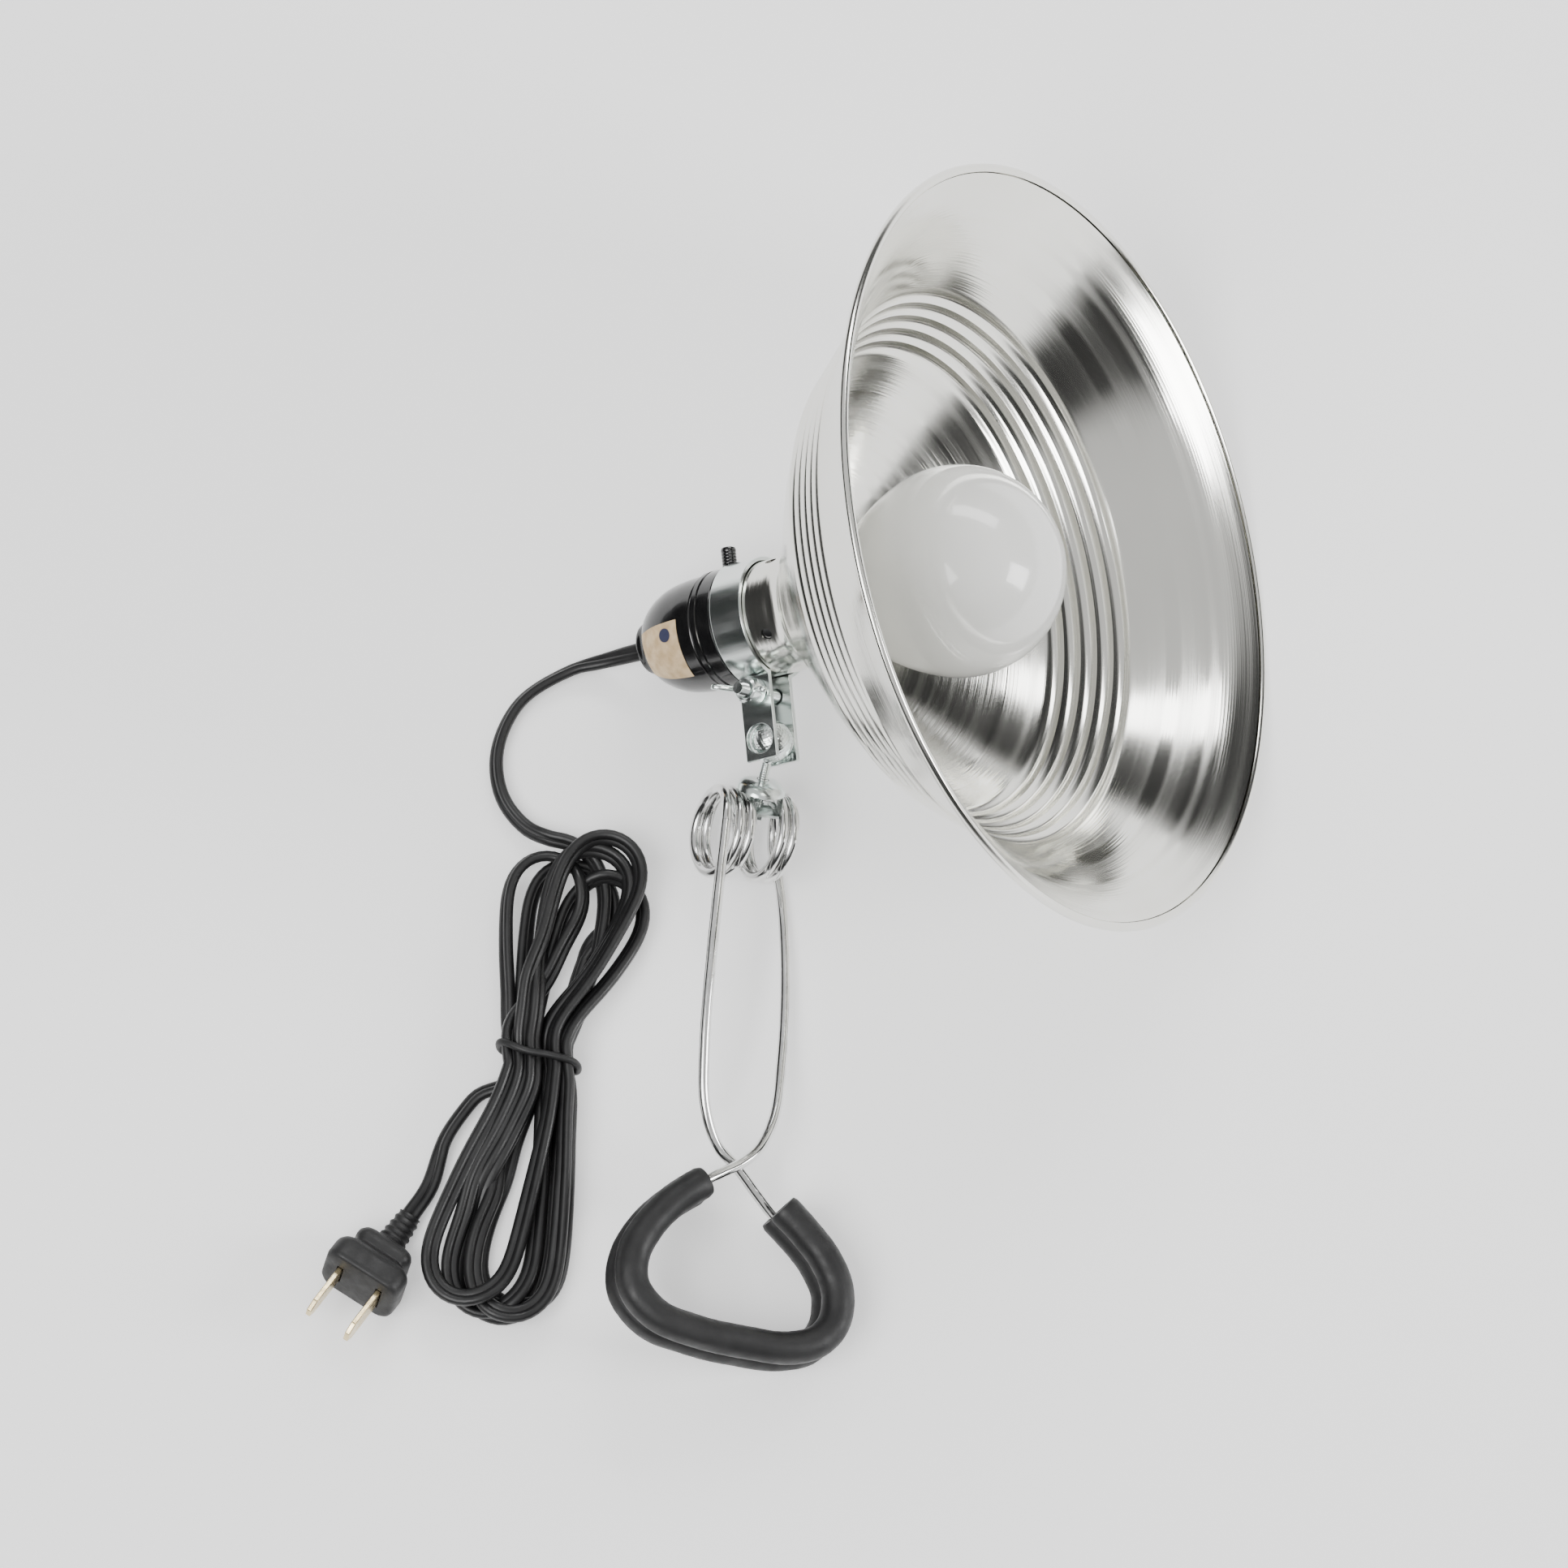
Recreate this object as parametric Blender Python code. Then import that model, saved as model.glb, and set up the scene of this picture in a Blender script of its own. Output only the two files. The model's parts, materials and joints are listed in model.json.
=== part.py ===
"""Clamp-on heat lamp fixture for brooders: spun reflector, keyless socket, bulb and spring clamp.

The fixture lies on a flat surface: it rests on the reflector's rim, the clamp's coil and a jaw.
Units are metres, +Z is up, +Y runs from the clamp's jaws to the reflector, +X to the bulb's side.
Run with blender --background --python part.py, or from the text editor.
"""

import bmesh
import bpy
import numpy as np
from math import atan2, cos, pi, radians, sin, sqrt
from mathutils import Matrix, Vector

GAP = 0.0003                      # clearance between pieces that touch

# --- where the fixture lies -------------------------------------------------------------------
SOCKET_REAR = Vector((-0.0827, 0.0464, 0.01322))    # centre of the socket's rear face
LAMP_TURN = radians(3.9)          # lamp axis, from +X towards +Y
LAMP_RISE = radians(33.9)         # lamp axis, above the surface
EAR_ROLL = radians(3.0)           # the clamp ears, below level
COIL_CENTRE = Vector((-0.0537, -0.0093, 0.0162))
CLAMP_TURN = radians(2.0)         # the clamp's long axis, away from -Y towards -X
CLAMP_RISE = radians(0.75)        # its jaws, above level

# --- reflector --------------------------------------------------------------------------------
RIM_RADIUS = 0.1080               # an 8.5 inch reflector
RIM_BEAD = 0.0012
RIM_DEPTH = 0.1390                # from the socket's rear face to the rim
SHEET = 0.0009
COLLAR_START = 0.0328
COLLAR_END = 0.0550
COLLAR_RADIUS = 0.0164
DOME_END = 0.0930
DOME_RADIUS = 0.0660
STEP_COUNT = 5
STEP_END = 0.1120
STEP_RADIUS = 0.0800
VENT_COUNT = 4

# --- socket -----------------------------------------------------------------------------------
CAP_LENGTH = 0.0250
BARREL_RADIUS = 0.0172
BARREL_STEP = 0.0325              # where the barrel narrows to enter the collar
BARREL_NOSE = 0.0152
BARREL_BORE = 0.0143
BARREL_END = 0.0540
SWITCH_AT = 0.0300
SWITCH_RADIUS = 0.0022
SWITCH_TRAVEL = 0.0052
SHELL_RADIUS = 0.01395

# --- bulb -------------------------------------------------------------------------------------
BULB_TIP = 0.0360
GLOBE_AT = 0.1060
GLOBE_RADIUS = 0.0300
CAP_RADIUS = 0.0131
CAP_START = 0.0403
CAP_END = 0.0610

# --- band clamp and ball joint ----------------------------------------------------------------
BAND_START = 0.0330
BAND_END = 0.0432
BAND_INNER = COLLAR_RADIUS + GAP
BAND_OUTER = BAND_INNER + 0.0012
BAND_MID = (BAND_START + BAND_END) / 2
EAR_INSIDE = 0.0045
EAR_OUTSIDE = 0.0060
EAR_REACH = 0.0410
BOLT_REACH = 0.0215
BOLT_RADIUS = 0.0020
WING_TURN = radians(104)          # where the wing nut's wings stop, round the bolt
BALL_REACH = 0.0350
BALL_RADIUS = 0.0060
STEM_RADIUS = 0.0015

# --- spring clamp -----------------------------------------------------------------------------
WIRE = 0.00155                    # wire radius
COIL_RADIUS = 0.0120
COIL_PITCH = 0.00325
COIL_GAP = 0.0036                 # from the stem's centre to the first turn's centre
COIL_LEAN = 0.2                   # how far the turns lean along the coil's axis
SLEEVE_OUTER = 0.0047
SLEEVE_INNER = 0.0019
JAW_LIFT = 0.0049                 # each jaw's centre line, from the middle plane

# --- cord and plug ----------------------------------------------------------------------------
CORD_RADIUS = 0.0027
PLUG_FACE = Vector((-0.1642, -0.1394, 0.0122))
PLUG_TURN = radians(237.1)        # the blades' direction, from +X towards +Y
PLUG_RISE = radians(22.8)


# === helpers ==================================================================================

def material(name, colour, roughness, metallic=0.0):
    """Make the Principled material that one piece wears."""
    made = bpy.data.materials.new(name)
    made.use_nodes = True
    shader = made.node_tree.nodes["Principled BSDF"]
    shader.inputs["Base Color"].default_value = (*colour, 1.0)
    shader.inputs["Roughness"].default_value = roughness
    shader.inputs["Metallic"].default_value = metallic
    made.diffuse_color = (*colour, 1.0)
    return made


FINISHES = {
    "spun_aluminium": ((0.80, 0.80, 0.79), 0.25, 1.0),
    "zinc_plate": ((0.70, 0.74, 0.72), 0.32, 1.0),
    "chrome_wire": ((0.78, 0.78, 0.78), 0.15, 1.0),
    "black_phenolic": ((0.015, 0.015, 0.016), 0.22, 0.0),
    "black_vinyl": ((0.020, 0.020, 0.021), 0.55, 0.0),
    "black_cord": ((0.025, 0.025, 0.026), 0.45, 0.0),
    "brass": ((0.76, 0.66, 0.42), 0.30, 1.0),
    "fibre": ((0.30, 0.22, 0.15), 0.80, 0.0),
    "label_paper": ((0.80, 0.70, 0.50), 0.60, 0.0),
    "frosted_glass": ((0.92, 0.92, 0.90), 0.25, 0.0),
    "clear_glass": ((0.80, 0.86, 0.86), 0.05, 0.0),
    "tungsten": ((0.30, 0.30, 0.32), 0.40, 1.0),
}


def finish_object(name, shape, finish, parent=None):
    """Turn a bmesh into a named object with its own material."""
    bmesh.ops.remove_doubles(shape, verts=shape.verts, dist=1e-7)
    bmesh.ops.recalc_face_normals(shape, faces=shape.faces)
    mesh = bpy.data.meshes.new(name)
    shape.to_mesh(mesh)
    shape.free()
    mesh.shade_smooth()
    mesh.set_sharp_from_angle(angle=radians(35))
    made = bpy.data.objects.new(name, mesh)
    bpy.context.scene.collection.objects.link(made)
    made.data.materials.append(material(name + "_finish", *FINISHES[finish]))
    made.parent = parent
    return made


def empty(name, matrix, parent=None):
    """Place a frame that other pieces are parented to."""
    made = bpy.data.objects.new(name, None)
    bpy.context.scene.collection.objects.link(made)
    made.matrix_world = matrix
    made.parent = parent
    return made


def frame(origin, x_axis, y_axis, z_axis):
    """Matrix of a frame from its origin and its three unit axes."""
    rows = Matrix((x_axis, y_axis, z_axis)).transposed().to_4x4()
    rows.translation = origin
    return rows


def turned(profile, segments=32, start=0.0, sweep=2 * pi):
    """Revolve a closed (radius, height) profile about Z; a part sweep gets flat ends."""
    shape = bmesh.new()
    whole = sweep > 2 * pi - 1e-6
    steps = segments if whole else segments + 1
    rings = []
    for k in range(steps):
        angle = start + sweep * k / segments
        ring = [shape.verts.new((r * cos(angle), r * sin(angle), z)) for r, z in profile]
        rings.append(ring)
    count = len(profile)
    for k in range(segments):
        near, far = rings[k], rings[(k + 1) % steps]
        for i in range(count):
            j = (i + 1) % count
            if profile[i][0] < 1e-9 and profile[j][0] < 1e-9:
                continue
            corners = [near[i], near[j], far[j], far[i]]
            if profile[i][0] < 1e-9:
                corners = [near[i], near[j], far[j]]
            elif profile[j][0] < 1e-9:
                corners = [near[i], near[j], far[i]]
            shape.faces.new(corners)
    if not whole:
        shape.faces.new(rings[0])
        shape.faces.new(rings[-1])
    return shape


def smooth_path(points, spacing):
    """Points along a smooth curve through the given ones, about spacing apart."""
    pts = [Vector(p) for p in points]
    pts = [2 * pts[0] - pts[1]] + pts + [2 * pts[-1] - pts[-2]]
    dense = []
    for p0, p1, p2, p3 in zip(pts, pts[1:], pts[2:], pts[3:]):
        k0, k1, k2 = [max((b - a).length, 1e-6) ** 0.5 for a, b in ((p0, p1), (p1, p2), (p2, p3))]
        m1 = ((p1 - p0) / k0 - (p2 - p0) / (k0 + k1) + (p2 - p1) / k1) * k1
        m2 = ((p2 - p1) / k1 - (p3 - p1) / (k1 + k2) + (p3 - p2) / k2) * k1
        for i in range(24):
            t = i / 24
            dense.append((2 * t ** 3 - 3 * t ** 2 + 1) * p1 + (t ** 3 - 2 * t ** 2 + t) * m1
                         + (3 * t ** 2 - 2 * t ** 3) * p2 + (t ** 3 - t ** 2) * m2)
    dense.append(pts[-2])
    run = np.concatenate([[0.0], np.cumsum([(b - a).length for a, b in zip(dense, dense[1:])])])
    count = max(2, round(run[-1] / spacing))
    marks = np.linspace(0.0, run[-1], count + 1)
    flat = np.array([tuple(p) for p in dense])
    return [Vector([np.interp(m, run, flat[:, axis]) for axis in range(3)]) for m in marks]


def path_frames(points):
    """A steady pair of side directions at each point of a path."""
    tangents = []
    for i in range(len(points)):
        before, after = points[max(i - 1, 0)], points[min(i + 1, len(points) - 1)]
        tangents.append((after - before).normalized())
    side = tangents[0].orthogonal().normalized()
    pairs = []
    for tangent in tangents:
        side = (side - tangent * side.dot(tangent)).normalized()
        pairs.append((side, tangent.cross(side)))
    return pairs


def swept(points, radius, sides, bore=None):
    """A round bar along a path, or a tube if bore is given; radius may be one value per point."""
    shape = bmesh.new()
    pairs = path_frames(points)
    radii = radius if isinstance(radius, list) else [radius] * len(points)

    def skin(sizes):
        rings = []
        for point, (side, up), size in zip(points, pairs, sizes):
            turns = [2 * pi * k / sides for k in range(sides)]
            rings.append([shape.verts.new(point + size * (cos(a) * side + sin(a) * up)) for a in turns])
        for near, far in zip(rings, rings[1:]):
            for k in range(sides):
                j = (k + 1) % sides
                shape.faces.new((near[k], near[j], far[j], far[k]))
        return rings

    outer = skin(radii)
    if bore is None:
        shape.faces.new(outer[0])
        shape.faces.new(outer[-1])
        return shape
    inner = skin([bore] * len(points))
    for end in (0, -1):
        for k in range(sides):
            j = (k + 1) % sides
            shape.faces.new((outer[end][k], outer[end][j], inner[end][j], inner[end][k]))
    return shape


def extruded(outline, low, high):
    """A flat plate: an outline in X and Y, from height low to height high."""
    shape = bmesh.new()
    floor = [shape.verts.new((x, y, low)) for x, y in outline]
    roof = [shape.verts.new((x, y, high)) for x, y in outline]
    shape.faces.new(floor)
    shape.faces.new(roof)
    for i in range(len(outline)):
        j = (i + 1) % len(outline)
        shape.faces.new((floor[i], floor[j], roof[j], roof[i]))
    return shape


def block(low, high):
    """A box from one corner to the opposite one."""
    outline = [(low[0], low[1]), (high[0], low[1]), (high[0], high[1]), (low[0], high[1])]
    return extruded(outline, low[2], high[2])


def rod(start, end, radius, sides=16):
    """A straight round bar between two points."""
    return swept([Vector(start), Vector(end)], radius, sides)


def cutter(name, shape, parent=None):
    """A guide solid that only shapes another piece."""
    made = finish_object(name, shape, "fibre", parent)
    made.hide_render = True
    made.display_type = "WIRE"
    return made


def combine(target, tool, operation):
    """Boolean between two objects, kept as a modifier."""
    step = target.modifiers.new(operation.lower() + "_" + tool.name, "BOOLEAN")
    step.object = tool
    step.operation = operation
    step.solver = "EXACT"


def arc(centre, radius, start, end, count):
    """Points of an arc in the plane, angles in radians."""
    angles = np.linspace(start, end, count)
    return [(centre[0] + radius * cos(a), centre[1] + radius * sin(a)) for a in angles]


# === frames ===================================================================================

def lamp_frame():
    """Z along the lamp axis, X towards the clamp ears, origin at the socket's rear face."""
    axis = Vector((cos(LAMP_RISE) * cos(LAMP_TURN), cos(LAMP_RISE) * sin(LAMP_TURN), sin(LAMP_RISE)))
    level = axis.cross(Vector((0, 0, 1))).normalized()
    below = axis.cross(level)
    ears = level * cos(EAR_ROLL) + below * sin(EAR_ROLL)
    return frame(SOCKET_REAR, ears, axis.cross(ears), axis)


LAMP = lamp_frame()
BALL = LAMP @ Vector((BALL_REACH, 0, BAND_MID))
STEM = (BALL - COIL_CENTRE).normalized()


def clamp_frame():
    """X along the coil's axis, Y from the jaws to the coil, origin at the coil's centre."""
    back = Vector((sin(CLAMP_TURN), cos(CLAMP_TURN), -sin(CLAMP_RISE))).normalized()
    coil_axis = back.cross(STEM).normalized()
    return frame(COIL_CENTRE, coil_axis, back, coil_axis.cross(back))


CLAMP = clamp_frame()


# === reflector ================================================================================

def reflector_outline():
    """The sheet's outer line as (radius, height), from the collar to the rim."""
    line = [(COLLAR_RADIUS, COLLAR_START), (COLLAR_RADIUS, COLLAR_END - 0.002)]
    dome = [(0.0178, 0.0565), (0.0245, 0.0612), (0.0345, 0.0690), (0.0480, 0.0785), (0.0580, 0.0860)]
    line += dome + [(DOME_RADIUS, DOME_END)]
    for k in range(STEP_COUNT):
        along = (k + 1) / STEP_COUNT
        radius = DOME_RADIUS + (STEP_RADIUS - DOME_RADIUS) * along
        height = DOME_END + (STEP_END - DOME_END) * along
        line.append((radius - 0.0005 * ((k + 1) % 2), height))
    flare = [(0.0848, 0.1186), (0.0915, 0.1265), (0.0990, 0.1335)]
    return line + flare + [(RIM_RADIUS - RIM_BEAD, RIM_DEPTH - 0.0006)]


def thickened(line, thickness):
    """Close an open profile by offsetting it inwards by the sheet's thickness."""
    inner = []
    for i, (r, z) in enumerate(line):
        before, after = line[max(i - 1, 0)], line[min(i + 1, len(line) - 1)]
        dr, dz = after[0] - before[0], after[1] - before[1]
        size = sqrt(dr * dr + dz * dz)
        inner.append((r - thickness * dz / size, z + thickness * dr / size))
    return line + inner[::-1]


def build_reflector(lamp):
    line = reflector_outline()
    bead = [(RIM_RADIUS + RIM_BEAD * cos(a), RIM_DEPTH + RIM_BEAD * sin(a))
            for a in (radians(-100), radians(-40), radians(20), radians(80), radians(140))]
    body = finish_object("reflector", turned(thickened(line + bead, SHEET), 44), "spun_aluminium", lamp)
    for k in range(VENT_COUNT):
        angle = radians(-60) + 2 * pi * k / VENT_COUNT
        way = Vector((cos(angle), sin(angle), 0))
        near = way * (COLLAR_RADIUS - 0.004) + Vector((0, 0, 0.0490))
        slot = rod(near, near + way * 0.008, 0.0017, 8)
        combine(body, cutter(f"vent_cutter_{k}", slot, lamp), "DIFFERENCE")


# === socket ===================================================================================

def cap_outline():
    """The socket cap's outer line as (radius, height)."""
    return [(0.0074, 0.0), (0.0078, 0.0028), (0.0108, 0.0048), (0.0136, 0.0086), (0.0154, 0.0130),
            (0.0166, 0.0185), (BARREL_RADIUS, CAP_LENGTH)]


def build_socket(lamp):
    inside = [(0.0156, CAP_LENGTH), (0.0150, 0.0185), (0.0136, 0.0120), (0.0105, 0.0070), (0.0050, 0.0048),
              (0.0050, 0.0)]
    finish_object("socket_cap", turned(cap_outline() + inside, 32), "black_phenolic", lamp)

    barrel = [(BARREL_RADIUS, CAP_LENGTH + GAP), (BARREL_RADIUS, BARREL_STEP), (BARREL_NOSE, BARREL_STEP),
              (BARREL_NOSE, BARREL_END), (BARREL_BORE, BARREL_END), (BARREL_BORE, CAP_LENGTH + GAP)]
    body = finish_object("socket_barrel", turned(barrel, 32), "black_phenolic", lamp)
    bore = rod((-0.03, 0, SWITCH_AT), (0.03, 0, SWITCH_AT), SWITCH_RADIUS + GAP, 12)
    combine(body, cutter("switch_bore_cutter", bore, lamp), "DIFFERENCE")

    core = finish_object("switch_body", turned([(0, 0.0200), (0.0137, 0.0200), (0.0137, 0.0331), (0, 0.0331)], 24),
                         "fibre", lamp)
    channel = block((-0.02, -0.0052, 0.0262), (0.02, 0.0052, 0.0350))
    combine(core, cutter("channel_cutter", channel, lamp), "DIFFERENCE")

    throw = empty("switch_axis", Matrix.Translation((0, 0, SWITCH_AT)), lamp)
    button = [(0, -0.0236), (0.0012, -0.0236), (SWITCH_RADIUS, -0.0228), (SWITCH_RADIUS, 0.0178),
              (0.0012, 0.0186), (0, 0.0186)]
    shape = turned(button, 12)
    bmesh.ops.rotate(shape, cent=(0, 0, 0), matrix=Matrix.Rotation(radians(90), 3, "Y"), verts=shape.verts)
    finish_object("switch_rod", shape, "black_phenolic", throw)
    carrier = finish_object("switch_carriage", block((-0.0045, -0.0042, -0.0034), (0.0045, 0.0042, 0.0030)),
                            "brass", throw)
    hole = rod((-0.02, 0, 0), (0.02, 0, 0), SWITCH_RADIUS + GAP, 12)
    combine(carrier, cutter("carriage_cutter", hole, throw), "DIFFERENCE")

    for side, name in ((-1, "terminal_screw_live"), (1, "terminal_screw_neutral")):
        screw = turned([(0, 0.0162), (0.0026, 0.0162), (0.0026, 0.0180), (0.0014, 0.0180), (0.0014, 0.0197),
                        (0, 0.0197)], 12)
        bmesh.ops.translate(screw, vec=(0, side * 0.0075, 0), verts=screw.verts)
        finish_object(name, screw, "brass", lamp)

    disc = [(0.0019, 0.0334), (0.0137, 0.0334), (0.0137, 0.0346), (0.0019, 0.0346)]
    finish_object("insulator_disc", turned(disc, 24), "fibre", lamp)
    rivet = [(0, 0.0335), (0.0015, 0.0335), (0.0015, 0.0349), (0.0036, 0.0349), (0.0030, 0.0356), (0, 0.0357)]
    finish_object("centre_contact", turned(rivet, 16), "brass", lamp)
    shell = [(SHELL_RADIUS, 0.0349), (SHELL_RADIUS, 0.0530), (0.0135, 0.0530), (0.0135, 0.0349)]
    finish_object("screw_shell", turned(shell, 28), "brass", lamp)

    bushing = [(0.0032, -0.0012), (0.0046, -0.0012), (0.0046, 0.0052), (0.0032, 0.0052)]
    finish_object("cord_bushing", turned(bushing, 20), "black_vinyl", lamp)

    radius, height = zip(*cap_outline())
    rows = [(np.interp(z, height, radius) + 0.0002, z) for z in (0.0055, 0.0086, 0.0130, 0.0185, 0.0205)]
    patch = turned(thickened(rows, -0.0003), 8, radians(-97), radians(62))
    finish_object("socket_label", patch, "label_paper", lamp)


# === bulb =====================================================================================

def globe_outline():
    """The bulb's outer glass line as (radius, height), from its open neck to the crown."""
    neck = [(0.0119, 0.0500), (0.0119, CAP_END + 0.0004), (0.0136, 0.0628), (0.0153, 0.0700), (0.0200, 0.0795),
            (0.0256, 0.0892)]
    angles = [radians(a) for a in (-14, 3, 20, 37, 54, 72)]
    crown = [(GLOBE_RADIUS * cos(a), GLOBE_AT + GLOBE_RADIUS * sin(a)) for a in angles]
    return neck + crown + [(0, GLOBE_AT + GLOBE_RADIUS)]


def build_bulb(lamp):
    outer = globe_outline()
    inner = [(max(r - 0.0009, 0.0), z - (0.0009 if r < 0.02 and z > GLOBE_AT else 0.0)) for r, z in outer]
    finish_object("bulb_glass", turned(outer + inner[::-1], 28), "frosted_glass", lamp)

    thread = [(0.0124, CAP_START)]
    for k in range(5):
        crest = CAP_START + 0.0018 + k * 0.0036
        thread += [(0.0128, crest - 0.0016), (CAP_RADIUS + 0.0001, crest)]
    thread += [(0.0129, CAP_END), (0.0123, CAP_END), (0.0123, CAP_START + 0.0010)]
    finish_object("bulb_screw_cap", turned(thread, 20), "spun_aluminium", lamp)
    ring = [(0.0048, 0.0378), (0.0116, 0.0399), (0.0116, 0.0407), (0.0048, 0.0407)]
    finish_object("bulb_insulator", turned(ring, 20), "black_phenolic", lamp)
    tip = [(0, BULB_TIP), (0.0030, BULB_TIP + 0.0003), (0.0044, BULB_TIP + 0.0016), (0.0044, 0.0403), (0, 0.0403)]
    finish_object("bulb_contact", turned(tip, 16), "brass", lamp)

    mount = [(0, 0.0520), (0.0062, 0.0520), (0.0045, 0.0600), (0.0028, 0.0660), (0.0028, 0.0840), (0, 0.0850)]
    finish_object("bulb_stem", turned(mount, 12), "clear_glass", lamp)
    for side, name in ((-1, "bulb_lead_a"), (1, "bulb_lead_b")):
        wire = [(0, side * 0.0066, 0.0560), (0, side * 0.0066, 0.0700), (0, side * 0.0125, 0.1000)]
        finish_object(name, swept(smooth_path(wire, 0.0100), 0.0004, 6), "tungsten", lamp)
    arch = [(0, -0.0122, 0.1008), (0, -0.0080, 0.1050), (0, 0, 0.1066), (0, 0.0080, 0.1050), (0, 0.0122, 0.1008)]
    finish_object("bulb_filament", swept(smooth_path(arch, 0.0040), 0.0004, 6), "tungsten", lamp)


# === band clamp, wing nut and ball joint ======================================================

def build_band(lamp):
    wide = atan2(EAR_OUTSIDE, sqrt(BAND_OUTER ** 2 - EAR_OUTSIDE ** 2))
    narrow = atan2(EAR_INSIDE, sqrt(BAND_INNER ** 2 - EAR_INSIDE ** 2))
    outline = arc((0, 0), BAND_OUTER, wide, 2 * pi - wide, 29)
    outline += [(EAR_REACH, -EAR_OUTSIDE), (EAR_REACH, -EAR_INSIDE)]
    outline += arc((0, 0), BAND_INNER, 2 * pi - narrow, narrow, 29)
    outline += [(EAR_REACH, EAR_INSIDE), (EAR_REACH, EAR_OUTSIDE)]
    band = finish_object("band_clamp", extruded(outline, BAND_START, BAND_END), "zinc_plate", lamp)
    for name, reach, radius in (("bolt_hole", BOLT_REACH, BOLT_RADIUS + GAP), ("ball_seat", BALL_REACH, 0.0043)):
        hole = rod((reach, -0.02, BAND_MID), (reach, 0.02, BAND_MID), radius, 20)
        combine(band, cutter(name + "_cutter", hole, lamp), "DIFFERENCE")

    bolt_frame = empty("bolt_axis", Matrix.Translation((BOLT_REACH, 0, BAND_MID)), lamp)
    bolt = turned([(0, -0.0148), (BOLT_RADIUS, -0.0144), (BOLT_RADIUS, EAR_OUTSIDE + GAP),
                   (0.0040, EAR_OUTSIDE + GAP), (0.0036, 0.0080), (0.0018, 0.0090), (0, 0.0092)], 16)
    bmesh.ops.rotate(bolt, cent=(0, 0, 0), matrix=Matrix.Rotation(radians(-90), 3, "X"), verts=bolt.verts)
    finish_object("band_bolt", bolt, "zinc_plate", bolt_frame)

    hub = rod((0, -0.0063, 0), (0, -0.0115, 0), 0.0037, 16)
    nut = finish_object("wing_nut", hub, "zinc_plate", bolt_frame)
    wing = [(0.0020, -0.0072), (0.0048, -0.0078), (0.0074, -0.0120), (0.0092, -0.0140), (0.0080, -0.0153),
            (0.0058, -0.0138), (0.0020, -0.0112)]
    for side in (-1, 1):
        shape = extruded([(side * x, y) for x, y in wing], -0.0009, 0.0009)
        bmesh.ops.rotate(shape, cent=(0, 0, 0), matrix=Matrix.Rotation(WING_TURN, 3, "Y"), verts=shape.verts)
        combine(nut, cutter(f"wing_{'left' if side < 0 else 'right'}", shape, bolt_frame), "UNION")
    bore = rod((0, -0.02, 0), (0, 0.0, 0), BOLT_RADIUS + GAP, 16)
    combine(nut, cutter("nut_bore_cutter", bore, bolt_frame), "DIFFERENCE")


def build_ball_joint():
    side = STEM.orthogonal().normalized()
    joint = empty("stem_axis", frame(BALL, side, STEM.cross(side), STEM))
    length = (BALL - COIL_CENTRE).length
    ball = bmesh.new()
    bmesh.ops.create_uvsphere(ball, u_segments=20, v_segments=12, radius=BALL_RADIUS)
    piece = finish_object("swivel_ball", ball, "zinc_plate", joint)
    socket = rod((0, 0, -0.0085), (0, 0, 0.0020), STEM_RADIUS + GAP, 12)
    combine(piece, cutter("ball_bore_cutter", socket, joint), "DIFFERENCE")

    wall = COIL_RADIUS + WIRE
    stem = [(0, -length + COIL_RADIUS - 0.0072), (STEM_RADIUS, -length + COIL_RADIUS - 0.0072),
            (STEM_RADIUS, 0.0016), (0, 0.0016)]
    finish_object("swivel_stem", turned(stem, 12), "zinc_plate", joint)
    base = -length + wall + GAP
    cup = [(STEM_RADIUS + GAP, base + 0.0034), (0.0040, base + 0.0032), (0.0066, base + 0.0016), (0.0072, base),
           (0.0062, base), (0.0056, base + 0.0010), (0.0036, base + 0.0022), (STEM_RADIUS + GAP, base + 0.0024)]
    finish_object("dome_washer", turned(cup, 20), "zinc_plate", joint)
    nut_low = -length + COIL_RADIUS - WIRE - 0.0018 - 2 * GAP
    nut = [(STEM_RADIUS + GAP, nut_low - 0.0022), (0.0031, nut_low - 0.0022), (0.0031, nut_low - 0.0001),
           (STEM_RADIUS + GAP, nut_low - 0.0001)]
    finish_object("stem_nut", turned(nut, 6), "zinc_plate", joint)


# === spring clamp =============================================================================

COIL_START, COIL_CROSS, COIL_ACROSS, COIL_FINISH = -90.0, 630.0, 730.0, 1530.0
STEM_ANGLE = atan2(STEM.dot(CLAMP.col[2].to_3d()), STEM.dot(CLAMP.col[1].to_3d()))


def coil_point(turn):
    """A point of the coil's centre line in the clamp frame, by its angle in degrees."""
    right_end = COIL_GAP + COIL_PITCH * (COIL_CROSS - COIL_START) / 360
    if turn < COIL_CROSS:
        along = right_end - COIL_PITCH * (turn - COIL_START) / 360
    elif turn < COIL_ACROSS:
        t = (turn - COIL_CROSS) / (COIL_ACROSS - COIL_CROSS)
        along = COIL_GAP * (1 - 2 * t * t * (3 - 2 * t))
    else:
        along = -COIL_GAP - COIL_PITCH * (turn - COIL_ACROSS) / 360
    leaning = min(1.0, (turn - COIL_START) / 180, (COIL_FINISH - turn) / 180)
    along += COIL_LEAN * COIL_RADIUS * (sin(radians(turn)) - sin(STEM_ANGLE)) * leaning ** 2 * (3 - 2 * leaning)
    return Vector((along, COIL_RADIUS * cos(radians(turn)), COIL_RADIUS * sin(radians(turn))))


LEFT_END = coil_point(COIL_FINISH)
RIGHT_END = coil_point(COIL_START)

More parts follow.
